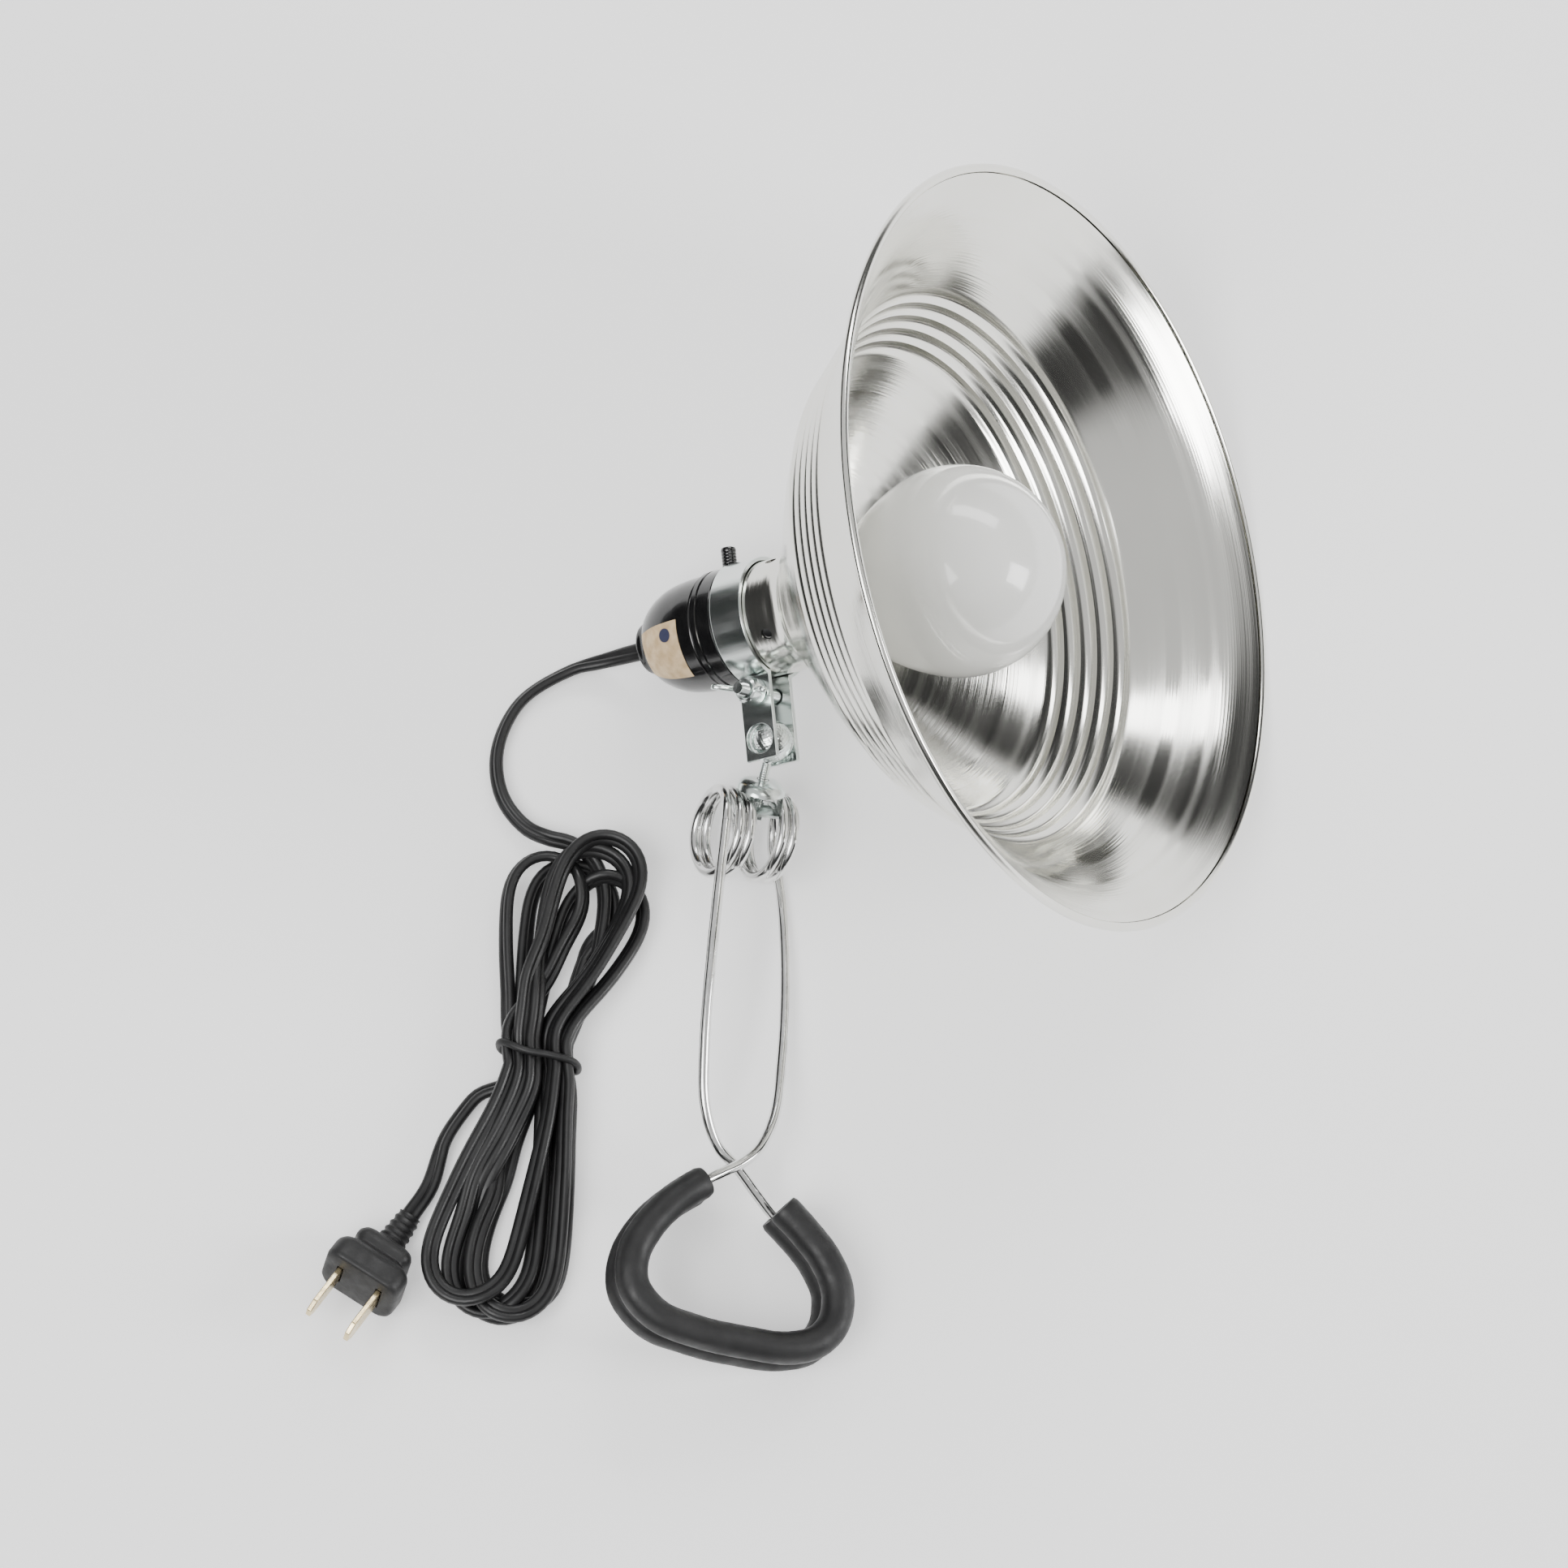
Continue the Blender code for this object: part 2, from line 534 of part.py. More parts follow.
# the left wire's handle, then the hook where it passes to the right; in the clamp frame
HANDLE_LEFT = [LEFT_END + Vector((0, -GAP * 2, 0)), (-0.0118, -0.0140, 0.0117), (-0.0128, -0.0390, 0.0093),
               (-0.0130, -0.0640, 0.0062), (-0.0112, -0.0810, 0.0028), (-0.0062, -0.0915, -0.0004),
               (0.0000, -0.0966, -0.0019), (0.0068, -0.1035, -0.0038)]
HANDLE_RIGHT = [RIGHT_END + Vector((0, -GAP * 2, 0)), (0.0130, -0.0140, -0.0112), (0.0144, -0.0390, -0.0086),
                (0.0134, -0.0640, -0.0062), (0.0108, -0.0810, -0.0028), (0.0056, -0.0915, 0.0004),
                (0.0000, -0.0966, 0.0019), (-0.0052, -0.0998, 0.0036)]
# the jaw's outline, from its left end round the bottom to its right end
JAW = [(-0.0109, -0.1033), (-0.0196, -0.1096), (-0.0268, -0.1178), (-0.0308, -0.1262), (-0.0304, -0.1355),
       (-0.0236, -0.1428), (-0.0120, -0.1465), (0.0025, -0.1483), (0.0154, -0.1487), (0.0236, -0.1460),
       (0.0284, -0.1395), (0.0288, -0.1300), (0.0250, -0.1222), (0.0188, -0.1150), (0.0120, -0.1087)]


def build_spring_clamp():
    clamp = empty("clamp_frame", CLAMP)
    turns = np.linspace(COIL_START, COIL_FINISH, round((COIL_FINISH - COIL_START) / 24) + 1)
    finish_object("spring_coil", swept([coil_point(t) for t in turns], WIRE, 7), "chrome_wire", clamp)

    lower = [(x, y, -JAW_LIFT) for x, y in reversed(JAW)]
    upper = [(x, y, JAW_LIFT) for x, y in JAW]
    for letter, handle, jaw in (("a", HANDLE_LEFT, lower), ("b", HANDLE_RIGHT, upper)):
        route = smooth_path(handle + jaw, 0.0048)
        start = min(range(len(route)), key=lambda i: (route[i] - Vector(jaw[0])).length)
        finish_object(f"jaw_wire_{letter}", swept(route[:-2], WIRE, 7), "chrome_wire", clamp)
        finish_object(f"jaw_sleeve_{letter}", swept(route[start:], SLEEVE_OUTER, 9, SLEEVE_INNER),
                      "black_vinyl", clamp)

    saddle_out = COIL_RADIUS - WIRE - GAP
    plate = turned([(saddle_out, -0.0075), (saddle_out, 0.0075), (saddle_out - 0.0012, 0.0075),
                    (saddle_out - 0.0012, -0.0075)], 8, radians(-32), radians(64))
    turn = Matrix(((0, 0, 1), (cos(STEM_ANGLE), -sin(STEM_ANGLE), 0), (sin(STEM_ANGLE), cos(STEM_ANGLE), 0)))
    bmesh.ops.transform(plate, matrix=turn.to_4x4(), verts=plate.verts)
    saddle = finish_object("coil_saddle", plate, "zinc_plate", clamp)
    way = Vector((0, cos(STEM_ANGLE), sin(STEM_ANGLE)))
    hole = rod(way * 0.005, way * 0.015, STEM_RADIUS + GAP, 12)
    combine(saddle, cutter("saddle_hole_cutter", hole, clamp), "DIFFERENCE")


# === cord and plug ============================================================================

CORD_TO_HANK = [(-0.0851, 0.0462, 0.01155), (-0.0898, 0.0459, 0.0084), (-0.0964, 0.0451, 0.0048),
                (-0.1054, 0.0429, 0.0031), (-0.1198, 0.0335, 0.0030), (-0.1264, 0.0189, 0.0030),
                (-0.1248, 0.0053, 0.0030), (-0.1181, -0.0037, 0.0034), (-0.1116, -0.0073, 0.0052)]
HANK_OUTLINE = [(-0.1001, -0.0057), (-0.0876, -0.0079), (-0.0830, -0.0227), (-0.0884, -0.0447), (-0.1026, -0.0667),
                (-0.1056, -0.0877), (-0.1056, -0.1177), (-0.1111, -0.1397), (-0.1206, -0.1467), (-0.1346, -0.1442),
                (-0.1446, -0.1377), (-0.1450, -0.1247), (-0.1356, -0.1007), (-0.1241, -0.0747),
                (-0.1196, -0.0527), (-0.1176, -0.0297), (-0.1088, -0.0115)]
HANK_TOP = 0.0150


def plug_frame():
    """Z along the blades, X from blade to blade, origin in the middle of the plug's face."""
    out = Vector((cos(PLUG_RISE) * cos(PLUG_TURN), cos(PLUG_RISE) * sin(PLUG_TURN), sin(PLUG_RISE)))
    across = Vector((-sin(PLUG_TURN), cos(PLUG_TURN), 0))
    return frame(PLUG_FACE, across, out.cross(across), out)


PLUG = plug_frame()


def relief_path():
    """The strain relief's centre line: straight out of the plug's back, then down to level."""
    start = PLUG @ Vector((0, 0, -0.0163))
    back = -PLUG.col[2].to_3d()
    level = Vector((back.x, back.y, 0)).normalized()
    bend = 0.0290
    points = []
    for k in range(7):
        a = PLUG_RISE * (1 - k / 6)
        centre = start + bend * (level * sin(PLUG_RISE) + Vector((0, 0, cos(PLUG_RISE))))
        points.append(centre - bend * (level * sin(a) + Vector((0, 0, cos(a)))))
    return points


RELIEF = relief_path()
RELIEF_WAY = (RELIEF[-1] - RELIEF[-2]).normalized()
CORD_TO_PLUG = [RELIEF[-1] + RELIEF_WAY * GAP, RELIEF[-1] + RELIEF_WAY * 0.010 + Vector((0, 0, 0.0001)),
                Vector((-0.1402, -0.0950, 0.0031)), Vector((-0.1347, -0.0865, 0.0032)),
                Vector((-0.1309, -0.0823, 0.0036))]


def cord_tube(name, points):
    """A plain round tube along a stretch of cord."""
    made = bpy.data.curves.new(name, "CURVE")
    made.dimensions = "3D"
    made.bevel_depth = CORD_RADIUS
    made.bevel_resolution = 2
    made.use_fill_caps = True
    spline = made.splines.new("POLY")
    route = smooth_path(points, 3 * CORD_RADIUS)
    spline.points.add(len(route) - 1)
    for place, point in zip(spline.points, route):
        place.co = (*point, 1.0)
    tube = bpy.data.objects.new(name, made)
    made.materials.append(material(name + "_finish", *FINISHES["black_cord"]))
    bpy.context.scene.collection.objects.link(tube)


def build_cord():
    cord_tube("cord_to_hank", CORD_TO_HANK)
    cord_tube("cord_to_plug", CORD_TO_PLUG)
    ring = HANK_OUTLINE + HANK_OUTLINE[:1]
    loop = [(p.x, p.y) for p in smooth_path([(x, y, 0) for x, y in ring], 0.0100)[:-1]]
    hank = finish_object("cord_hank", extruded(loop, 0.0004, HANK_TOP), "black_cord")
    tie = finish_object("hank_tie", block((-0.1254, -0.0739, 0.0001), (-0.1016, -0.0695, HANK_TOP + 0.0016)),
                        "black_vinyl")
    slot = cutter("tie_cutter", block((-0.1242, -0.0807, 0.0001 + 0.0010), (-0.1028, -0.0627, HANK_TOP + 0.0004)))
    combine(tie, slot, "DIFFERENCE")
    waist = [(-0.1286, -0.0745), (-0.1286, -0.0689), (-0.0986, -0.0689), (-0.0986, -0.0745)]
    keep = extruded([(-0.1239, -0.0817), (-0.1239, -0.0617), (-0.1031, -0.0617), (-0.1031, -0.0817)], 0.0014, 0.0150)
    groove = cutter("groove_outer", extruded(waist, -0.001, 0.020))
    combine(groove, cutter("groove_keep", keep), "DIFFERENCE")
    combine(hank, groove, "DIFFERENCE")


def build_plug():
    plug = empty("plug_frame", PLUG)
    half_wide, half_tall, corner = 0.0118, 0.0086, 0.0042
    corners = [((half_wide - corner) * sx, (half_tall - corner) * sy, a)
               for sx, sy, a in ((1, 1, 0), (-1, 1, 90), (-1, -1, 180), (1, -1, 270))]
    loop = []
    for x, y, a in corners:
        loop += arc((x, y), corner, radians(a), radians(a + 90), 5)
    shape = bmesh.new()
    layers = [(0.94, 0.0), (1.0, -0.0008), (1.0, -0.0060), (0.80, -0.0085), (0.66, -0.0100), (0.72, -0.0120),
              (0.66, -0.0150), (0.50, -0.0160)]
    rings = [[shape.verts.new((x * size, y * size, z)) for x, y in loop] for size, z in layers]
    for near, far in zip(rings, rings[1:]):
        for i in range(len(loop)):
            j = (i + 1) % len(loop)
            shape.faces.new((near[i], near[j], far[j], far[i]))
    shape.faces.new(rings[0])
    shape.faces.new(rings[-1])
    body = finish_object("plug_body", shape, "black_vinyl", plug)
    for side, name, width in ((-1, "plug_blade_live", 0.0063), (1, "plug_blade_neutral", 0.0079)):
        x = side * 0.00635
        half = width / 2
        outline = [(-half, -0.0060), (half, -0.0060), (half, 0.0135), (half * 0.5, 0.0163), (-half * 0.5, 0.0163),
                   (-half, 0.0135)]
        blade = extruded(outline, -0.00075, 0.00075)
        stand = Matrix(((0, 0, 1), (1, 0, 0), (0, 1, 0)))
        bmesh.ops.transform(blade, matrix=stand.to_4x4(), verts=blade.verts)
        bmesh.ops.translate(blade, vec=(x, 0, 0), verts=blade.verts)
        finish_object(name, blade, "brass", plug)
        pocket = block((x - 0.00105, -half - GAP, -0.0063), (x + 0.00105, half + GAP, 0.002))
        combine(body, cutter(name + "_pocket", pocket, plug), "DIFFERENCE")
    sizes = [0.0041, 0.0038, 0.0041, 0.0035, 0.0037, 0.0031, 0.0031]
    finish_object("plug_strain_relief", swept(RELIEF, sizes, 12), "black_vinyl")


# === assembly =================================================================================

def main():
    for old in list(bpy.data.objects):
        bpy.data.objects.remove(old, do_unlink=True)
    lamp = empty("lamp_axis", LAMP)
    build_reflector(lamp)
    build_socket(lamp)
    build_bulb(lamp)
    build_band(lamp)
    build_ball_joint()
    build_spring_clamp()
    build_cord()
    build_plug()
    bpy.context.view_layer.update()


main()
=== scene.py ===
"""Looks of the clamp-on heat lamp fixture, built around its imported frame. Metres, +Z up."""

import json
from math import atan2, cos, pi, radians, sin, sqrt

import bmesh
import bpy
import numpy as np
from mathutils import Matrix, Vector, noise


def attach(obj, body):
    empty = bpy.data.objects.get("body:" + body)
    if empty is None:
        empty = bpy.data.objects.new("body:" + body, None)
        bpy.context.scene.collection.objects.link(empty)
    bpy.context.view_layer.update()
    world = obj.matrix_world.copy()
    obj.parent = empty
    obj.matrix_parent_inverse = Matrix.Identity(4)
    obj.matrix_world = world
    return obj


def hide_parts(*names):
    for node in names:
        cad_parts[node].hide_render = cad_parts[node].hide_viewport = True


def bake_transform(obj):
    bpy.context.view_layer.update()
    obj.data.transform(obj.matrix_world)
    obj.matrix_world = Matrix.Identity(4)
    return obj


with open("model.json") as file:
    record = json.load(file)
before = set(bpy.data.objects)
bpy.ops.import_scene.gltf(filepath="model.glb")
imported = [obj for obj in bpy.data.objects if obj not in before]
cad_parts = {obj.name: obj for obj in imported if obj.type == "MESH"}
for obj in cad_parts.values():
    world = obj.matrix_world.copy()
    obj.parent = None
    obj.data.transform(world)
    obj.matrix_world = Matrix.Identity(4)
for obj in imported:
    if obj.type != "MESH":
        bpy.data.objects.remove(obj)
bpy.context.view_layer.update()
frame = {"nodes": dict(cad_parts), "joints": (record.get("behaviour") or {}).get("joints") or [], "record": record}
JOINTS = {joint["name"]: joint for joint in frame["joints"]}
MOUNTS = {mount["name"]: mount for mount in frame["record"]["mounts"]}


def as_frame(origin, x_axis, y_axis, z_axis):
    """Matrix of a frame from its origin and its three axes."""
    rows = Matrix((x_axis, y_axis, z_axis)).transposed().to_4x4()
    rows.translation = origin
    return rows


def axis_of(joint):
    return Vector(JOINTS[joint]["axis"]).normalized()


def point_of(joint):
    return Vector(JOINTS[joint]["pos_m"])


# === frames: Z of LAMP is the lamp axis and X points at the ears; X of CLAMP is the coil's axis ==
BULB_HINGE_AT = 0.05              # the bulb's hinge point, from the socket's rear face
LAMP_X, LAMP_Z = axis_of("switch_push"), axis_of("bulb_turn")
LAMP = as_frame(point_of("bulb_turn") - BULB_HINGE_AT * LAMP_Z, LAMP_X, LAMP_Z.cross(LAMP_X), LAMP_Z)
BALL = point_of("ball_tilt")
STEM = axis_of("stem_turn")
STEM_SIDE = STEM.orthogonal().normalized()
JOINT_FRAME = as_frame(BALL, STEM_SIDE, STEM.cross(STEM_SIDE), STEM)
CLAMP_X = axis_of("jaw_a_open")
CLAMP_Y = -Vector(MOUNTS["jaw_grip"]["axis"]).normalized()
CLAMP = as_frame(point_of("jaw_a_open"), CLAMP_X, CLAMP_Y, CLAMP_X.cross(CLAMP_Y))
PLUG_OUT = Vector(MOUNTS["plug_face"]["axis"]).normalized()
PLUG_ACROSS = Vector((0, 0, 1)).cross(PLUG_OUT).normalized()
PLUG = as_frame(Vector(MOUNTS["plug_face"]["pos_m"]), PLUG_ACROSS, PLUG_OUT.cross(PLUG_ACROSS), PLUG_OUT)
STEM_LENGTH = (BALL - CLAMP.translation).length

# === sizes ======================================================================================
RIM_RADIUS, RIM_BEAD, RIM_DEPTH = 0.1080, 0.0013, 0.1390
SHEET = 0.0007
COLLAR_RADIUS, COLLAR_START = 0.0164, 0.0328
STEP_START, STEP_END, STEP_COUNT, STEP_HEIGHT = (0.0660, 0.0930), (0.0800, 0.1120), 5, 0.0009
CAP_LENGTH, BARREL_RADIUS, BARREL_STEP, BARREL_NOSE = 0.0250, 0.0172, 0.0325, 0.0152
BARREL_END, BARREL_BORE = 0.0540, 0.0143
SWITCH_AT, SWITCH_RADIUS = 0.0300, 0.0022
BAND_START, BAND_END, BAND_INNER, BAND_OUTER = 0.0330, 0.0432, 0.0167, 0.0179
BAND_MID = (BAND_START + BAND_END) / 2
EAR_INSIDE, EAR_OUTSIDE, EAR_REACH = 0.0045, 0.0060, 0.0410
BOLT_REACH, BOLT_RADIUS, BALL_REACH, BALL_RADIUS, STEM_RADIUS = 0.0215, 0.0020, 0.0350, 0.0060, 0.0015
BALL_SEAT = 0.0043
WING_TURN = radians(104)
GLOBE_AT, GLOBE_RADIUS, BULB_CAP_START, BULB_CAP_END = 0.1060, 0.0300, 0.0403, 0.0610
WIRE, COIL_RADIUS, COIL_PITCH, COIL_GAP = 0.00155, 0.0120, 0.00325, 0.0036
SLEEVE_OUTER, SLEEVE_INNER, JAW_LIFT = 0.0047, 0.0019, 0.0049
CORD_WIDTH, CORD_THICK, CORD_LENGTH = 0.0054, 0.0029, 1.83

# === camera, floor and light ====================================================================
VIEW_HEIGHT = radians(75)         # the camera looks down at this angle
VIEW_AWAY = 2.676
VIEW_CENTRE = Vector((-0.0442, 0.0100, 0.0))
VIEW_WIDTH = 0.4366               # what the frame takes in at the rim centre's distance
VIEW_RIM_AWAY = 2.60


def add_camera():
    lens = bpy.data.cameras.new("view")
    lens.sensor_width = 36.0
    lens.lens = 36.0 * VIEW_RIM_AWAY / VIEW_WIDTH
    lens.clip_end = 50.0
    camera = bpy.data.objects.new("view", lens)
    bpy.context.scene.collection.objects.link(camera)
    back = Vector((0, -cos(VIEW_HEIGHT), sin(VIEW_HEIGHT)))
    camera.location = VIEW_CENTRE + back * VIEW_AWAY
    camera.rotation_euler = (pi / 2 - VIEW_HEIGHT, 0, 0)
    bpy.context.scene.camera = camera


def soft_light(name, place, target, size, power):
    lamp = bpy.data.lights.new(name, "AREA")
    lamp.shape = "RECTANGLE"
    lamp.size, lamp.size_y = size
    lamp.energy = power
    made = bpy.data.objects.new(name, lamp)
    bpy.context.scene.collection.objects.link(made)
    made.location = place
    made.rotation_euler = (Vector(target) - Vector(place)).to_track_quat("-Z", "Y").to_euler()


def add_studio():
    world = bpy.data.worlds.new("studio")
    bpy.context.scene.world = world
    world.use_nodes = True
    nodes, links = world.node_tree.nodes, world.node_tree.links
    where = nodes.new("ShaderNodeTexCoord")
    split = nodes.new("ShaderNodeSeparateXYZ")
    ramp = nodes.new("ShaderNodeValToRGB")
    stops = ramp.color_ramp
    stops.elements[0].position, stops.elements[0].color = 0.0, (0.80, 0.80, 0.80, 1)
    stops.elements[1].position, stops.elements[1].color = 1.0, (0.95, 0.95, 0.95, 1)
    for position, shade in ((0.50, 0.60), (0.55, 0.04), (0.75, 0.07), (0.83, 0.90)):
        stops.elements.new(position).color = (shade, shade, shade, 1)
    links.new(where.outputs["Generated"], split.inputs[0])
    links.new(split.outputs["Z"], nodes.new("ShaderNodeMapRange").inputs["Value"])
    spread = nodes["Map Range"]
    spread.inputs["From Min"].default_value = -1.0
    links.new(spread.outputs["Result"], ramp.inputs["Fac"])
    links.new(ramp.outputs["Color"], nodes["Background"].inputs["Color"])
    nodes["Background"].inputs["Strength"].default_value = 0.85
    soft_light("key", (-0.9, -0.7, 1.9), (0, 0, 0), (1.2, 1.2), 34)
    soft_light("side", (1.9, -0.35, 0.9), (0, 0, 0.08), (0.7, 0.9), 30)
    soft_light("back", (0.5, 1.6, 1.4), (0, 0, 0.05), (1.6, 0.5), 20)


# === mesh helpers ===============================================================================

def finish_piece(name, shape, look, body, matrix=None, replaces=(), sharp=40):
    """Turn a bmesh in a local frame into a piece that rides on a body."""
    bmesh.ops.remove_doubles(shape, verts=shape.verts, dist=1e-7)
    bmesh.ops.recalc_face_normals(shape, faces=shape.faces)
    mesh = bpy.data.meshes.new(name)
    shape.to_mesh(mesh)
    shape.free()
    mesh.shade_smooth()
    mesh.set_sharp_from_angle(angle=radians(sharp))
    made = bpy.data.objects.new(name, mesh)
    bpy.context.scene.collection.objects.link(made)
    made.matrix_world = matrix if matrix is not None else Matrix.Identity(4)
    mesh.materials.append(look)
    if body:
        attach(made, body)
    if replaces:
        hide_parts(*replaces)
    return made


def turned(profile, segments=96, start=0.0, sweep=2 * pi, ripple=None):
    """Revolve a closed (radius, height) profile about Z; ripple(r, z, angle) may shift the radius."""
    shape = bmesh.new()
    whole = sweep > 2 * pi - 1e-6
    rings = []
    for k in range(segments if whole else segments + 1):
        angle = start + sweep * k / segments
        ring = []
        for r, z in profile:
            size = r if ripple is None else r + ripple(r, z, angle)
            ring.append(shape.verts.new((size * cos(angle), size * sin(angle), z)))
        rings.append(ring)
    count = len(profile)
    for k in range(segments):
        near, far = rings[k], rings[(k + 1) % len(rings)]
        for i in range(count):
            j = (i + 1) % count
            if profile[i][0] < 1e-9 and profile[j][0] < 1e-9:
                continue
            corners = [near[i], near[j], far[j], far[i]]
            if profile[i][0] < 1e-9:
                corners = [near[i], near[j], far[j]]
            elif profile[j][0] < 1e-9:
                corners = [near[i], near[j], far[i]]
            shape.faces.new(corners)
    if not whole:
        shape.faces.new(rings[0])
        shape.faces.new(rings[-1])
    return shape


def smooth_path(points, spacing):
    """Points along a smooth curve through the given ones, about spacing apart."""
    pts = [Vector(p) for p in points]
    pts = [2 * pts[0] - pts[1]] + pts + [2 * pts[-1] - pts[-2]]
    dense = []
    for p0, p1, p2, p3 in zip(pts, pts[1:], pts[2:], pts[3:]):
        k0, k1, k2 = [max((b - a).length, 1e-6) ** 0.5 for a, b in ((p0, p1), (p1, p2), (p2, p3))]
        m1 = ((p1 - p0) / k0 - (p2 - p0) / (k0 + k1) + (p2 - p1) / k1) * k1
        m2 = ((p2 - p1) / k1 - (p3 - p1) / (k1 + k2) + (p3 - p2) / k2) * k1
        for i in range(24):
            t = i / 24
            dense.append((2 * t ** 3 - 3 * t ** 2 + 1) * p1 + (t ** 3 - 2 * t ** 2 + t) * m1
                         + (3 * t ** 2 - 2 * t ** 3) * p2 + (t ** 3 - t ** 2) * m2)
    dense.append(pts[-2])
    return resampled(dense, spacing)


def resampled(points, spacing):
    """The same line with points an equal distance apart."""
    flat = np.array([tuple(p) for p in points])
    run = np.concatenate([[0.0], np.cumsum(np.linalg.norm(np.diff(flat, axis=0), axis=1))])
    marks = np.linspace(0.0, run[-1], max(2, round(run[-1] / spacing)) + 1)
    return [Vector([np.interp(m, run, flat[:, axis]) for axis in range(3)]) for m in marks]


def line_2d(points, spacing):
    """A smooth (radius, height) line through the given points."""
    return [(p.x, p.y) for p in smooth_path([(r, z, 0) for r, z in points], spacing)]


def tangents_of(points):
    ways = []
    for i in range(len(points)):
        ways.append((points[min(i + 1, len(points) - 1)] - points[max(i - 1, 0)]).normalized())
    return ways


def path_frames(points):
    """A steady pair of side directions at each point of a path."""
    side, pairs = None, []
    for tangent in tangents_of(points):
        side = tangent.orthogonal() if side is None else side - tangent * side.dot(tangent)
        side = side.normalized()
        pairs.append((side, tangent.cross(side)))
    return pairs


def skinned(points, pairs, sections):
    """A closed skin through the cross-sections, each a list of (side, up) offsets at its point."""
    shape = bmesh.new()
    rings = []
    for point, (side, up), section in zip(points, pairs, sections):
        rings.append([shape.verts.new(point + a * side + b * up) for a, b in section])
    count = len(rings[0])
    for near, far in zip(rings, rings[1:]):
        for k in range(count):
            j = (k + 1) % count
            shape.faces.new((near[k], near[j], far[j], far[k]))
    shape.faces.new(rings[0])
    shape.faces.new(rings[-1])
    return shape


def circle(radius, sides):
    return [(radius * cos(2 * pi * k / sides), radius * sin(2 * pi * k / sides)) for k in range(sides)]


def rod_shape(points, radius, sides=16):
    """A round bar along a path; radius may be one value per point."""
    radii = radius if isinstance(radius, list) else [radius] * len(points)
    return skinned(points, path_frames(points), [circle(r, sides) for r in radii])


def thickened(line, thickness):
    """Close an open profile by offsetting it inwards by the sheet's thickness."""
    inner = []
    for i, (r, z) in enumerate(line):
        before, after = line[max(i - 1, 0)], line[min(i + 1, len(line) - 1)]
        dr, dz = after[0] - before[0], after[1] - before[1]
        size = sqrt(dr * dr + dz * dz)
        inner.append((r - thickness * dz / size, z + thickness * dr / size))
    return line + inner[::-1]


def extruded(outline, low, high):
    """A flat plate: an outline in X and Y, from height low to height high."""
    shape = bmesh.new()
    floor = [shape.verts.new((x, y, low)) for x, y in outline]
    roof = [shape.verts.new((x, y, high)) for x, y in outline]
    shape.faces.new(floor)
    shape.faces.new(roof)
    for i in range(len(outline)):
        j = (i + 1) % len(outline)
        shape.faces.new((floor[i], floor[j], roof[j], roof[i]))
    return shape


def cut(piece, tools):
    """Subtract closed shapes, given in the piece's own frame, and apply the result."""
    for number, shape in enumerate(tools):
        mesh = bpy.data.meshes.new(f"tool_{number}")
        bmesh.ops.recalc_face_normals(shape, faces=shape.faces)
        shape.to_mesh(mesh)
        shape.free()
        tool = bpy.data.objects.new(f"tool_{number}", mesh)
        bpy.context.scene.collection.objects.link(tool)
        tool.matrix_world = piece.matrix_world
        step = piece.modifiers.new("cut", "BOOLEAN")
        step.object, step.operation, step.solver = tool, "DIFFERENCE", "EXACT"
        bpy.context.view_layer.update()
        applied = bpy.data.meshes.new_from_object(piece.evaluated_get(bpy.context.evaluated_depsgraph_get()))
        piece.modifiers.clear()
        piece.data = applied
        bpy.data.objects.remove(tool)
    piece.data.set_sharp_from_angle(angle=radians(40))


def rounded_edges(piece, width, segments=2, angle=30):
    """Round a piece's edges with a Bevel modifier."""
    step = piece.modifiers.new("edges", "BEVEL")
    step.width, step.segments = width, segments
    step.limit_method, step.angle_limit = "ANGLE", radians(angle)
    step.harden_normals = True


def arc(centre, radius, start, end, count):
    across, up = centre
    return [(across + radius * cos(a), up + radius * sin(a)) for a in np.linspace(start, end, count)]


# === materials ==================================================================================

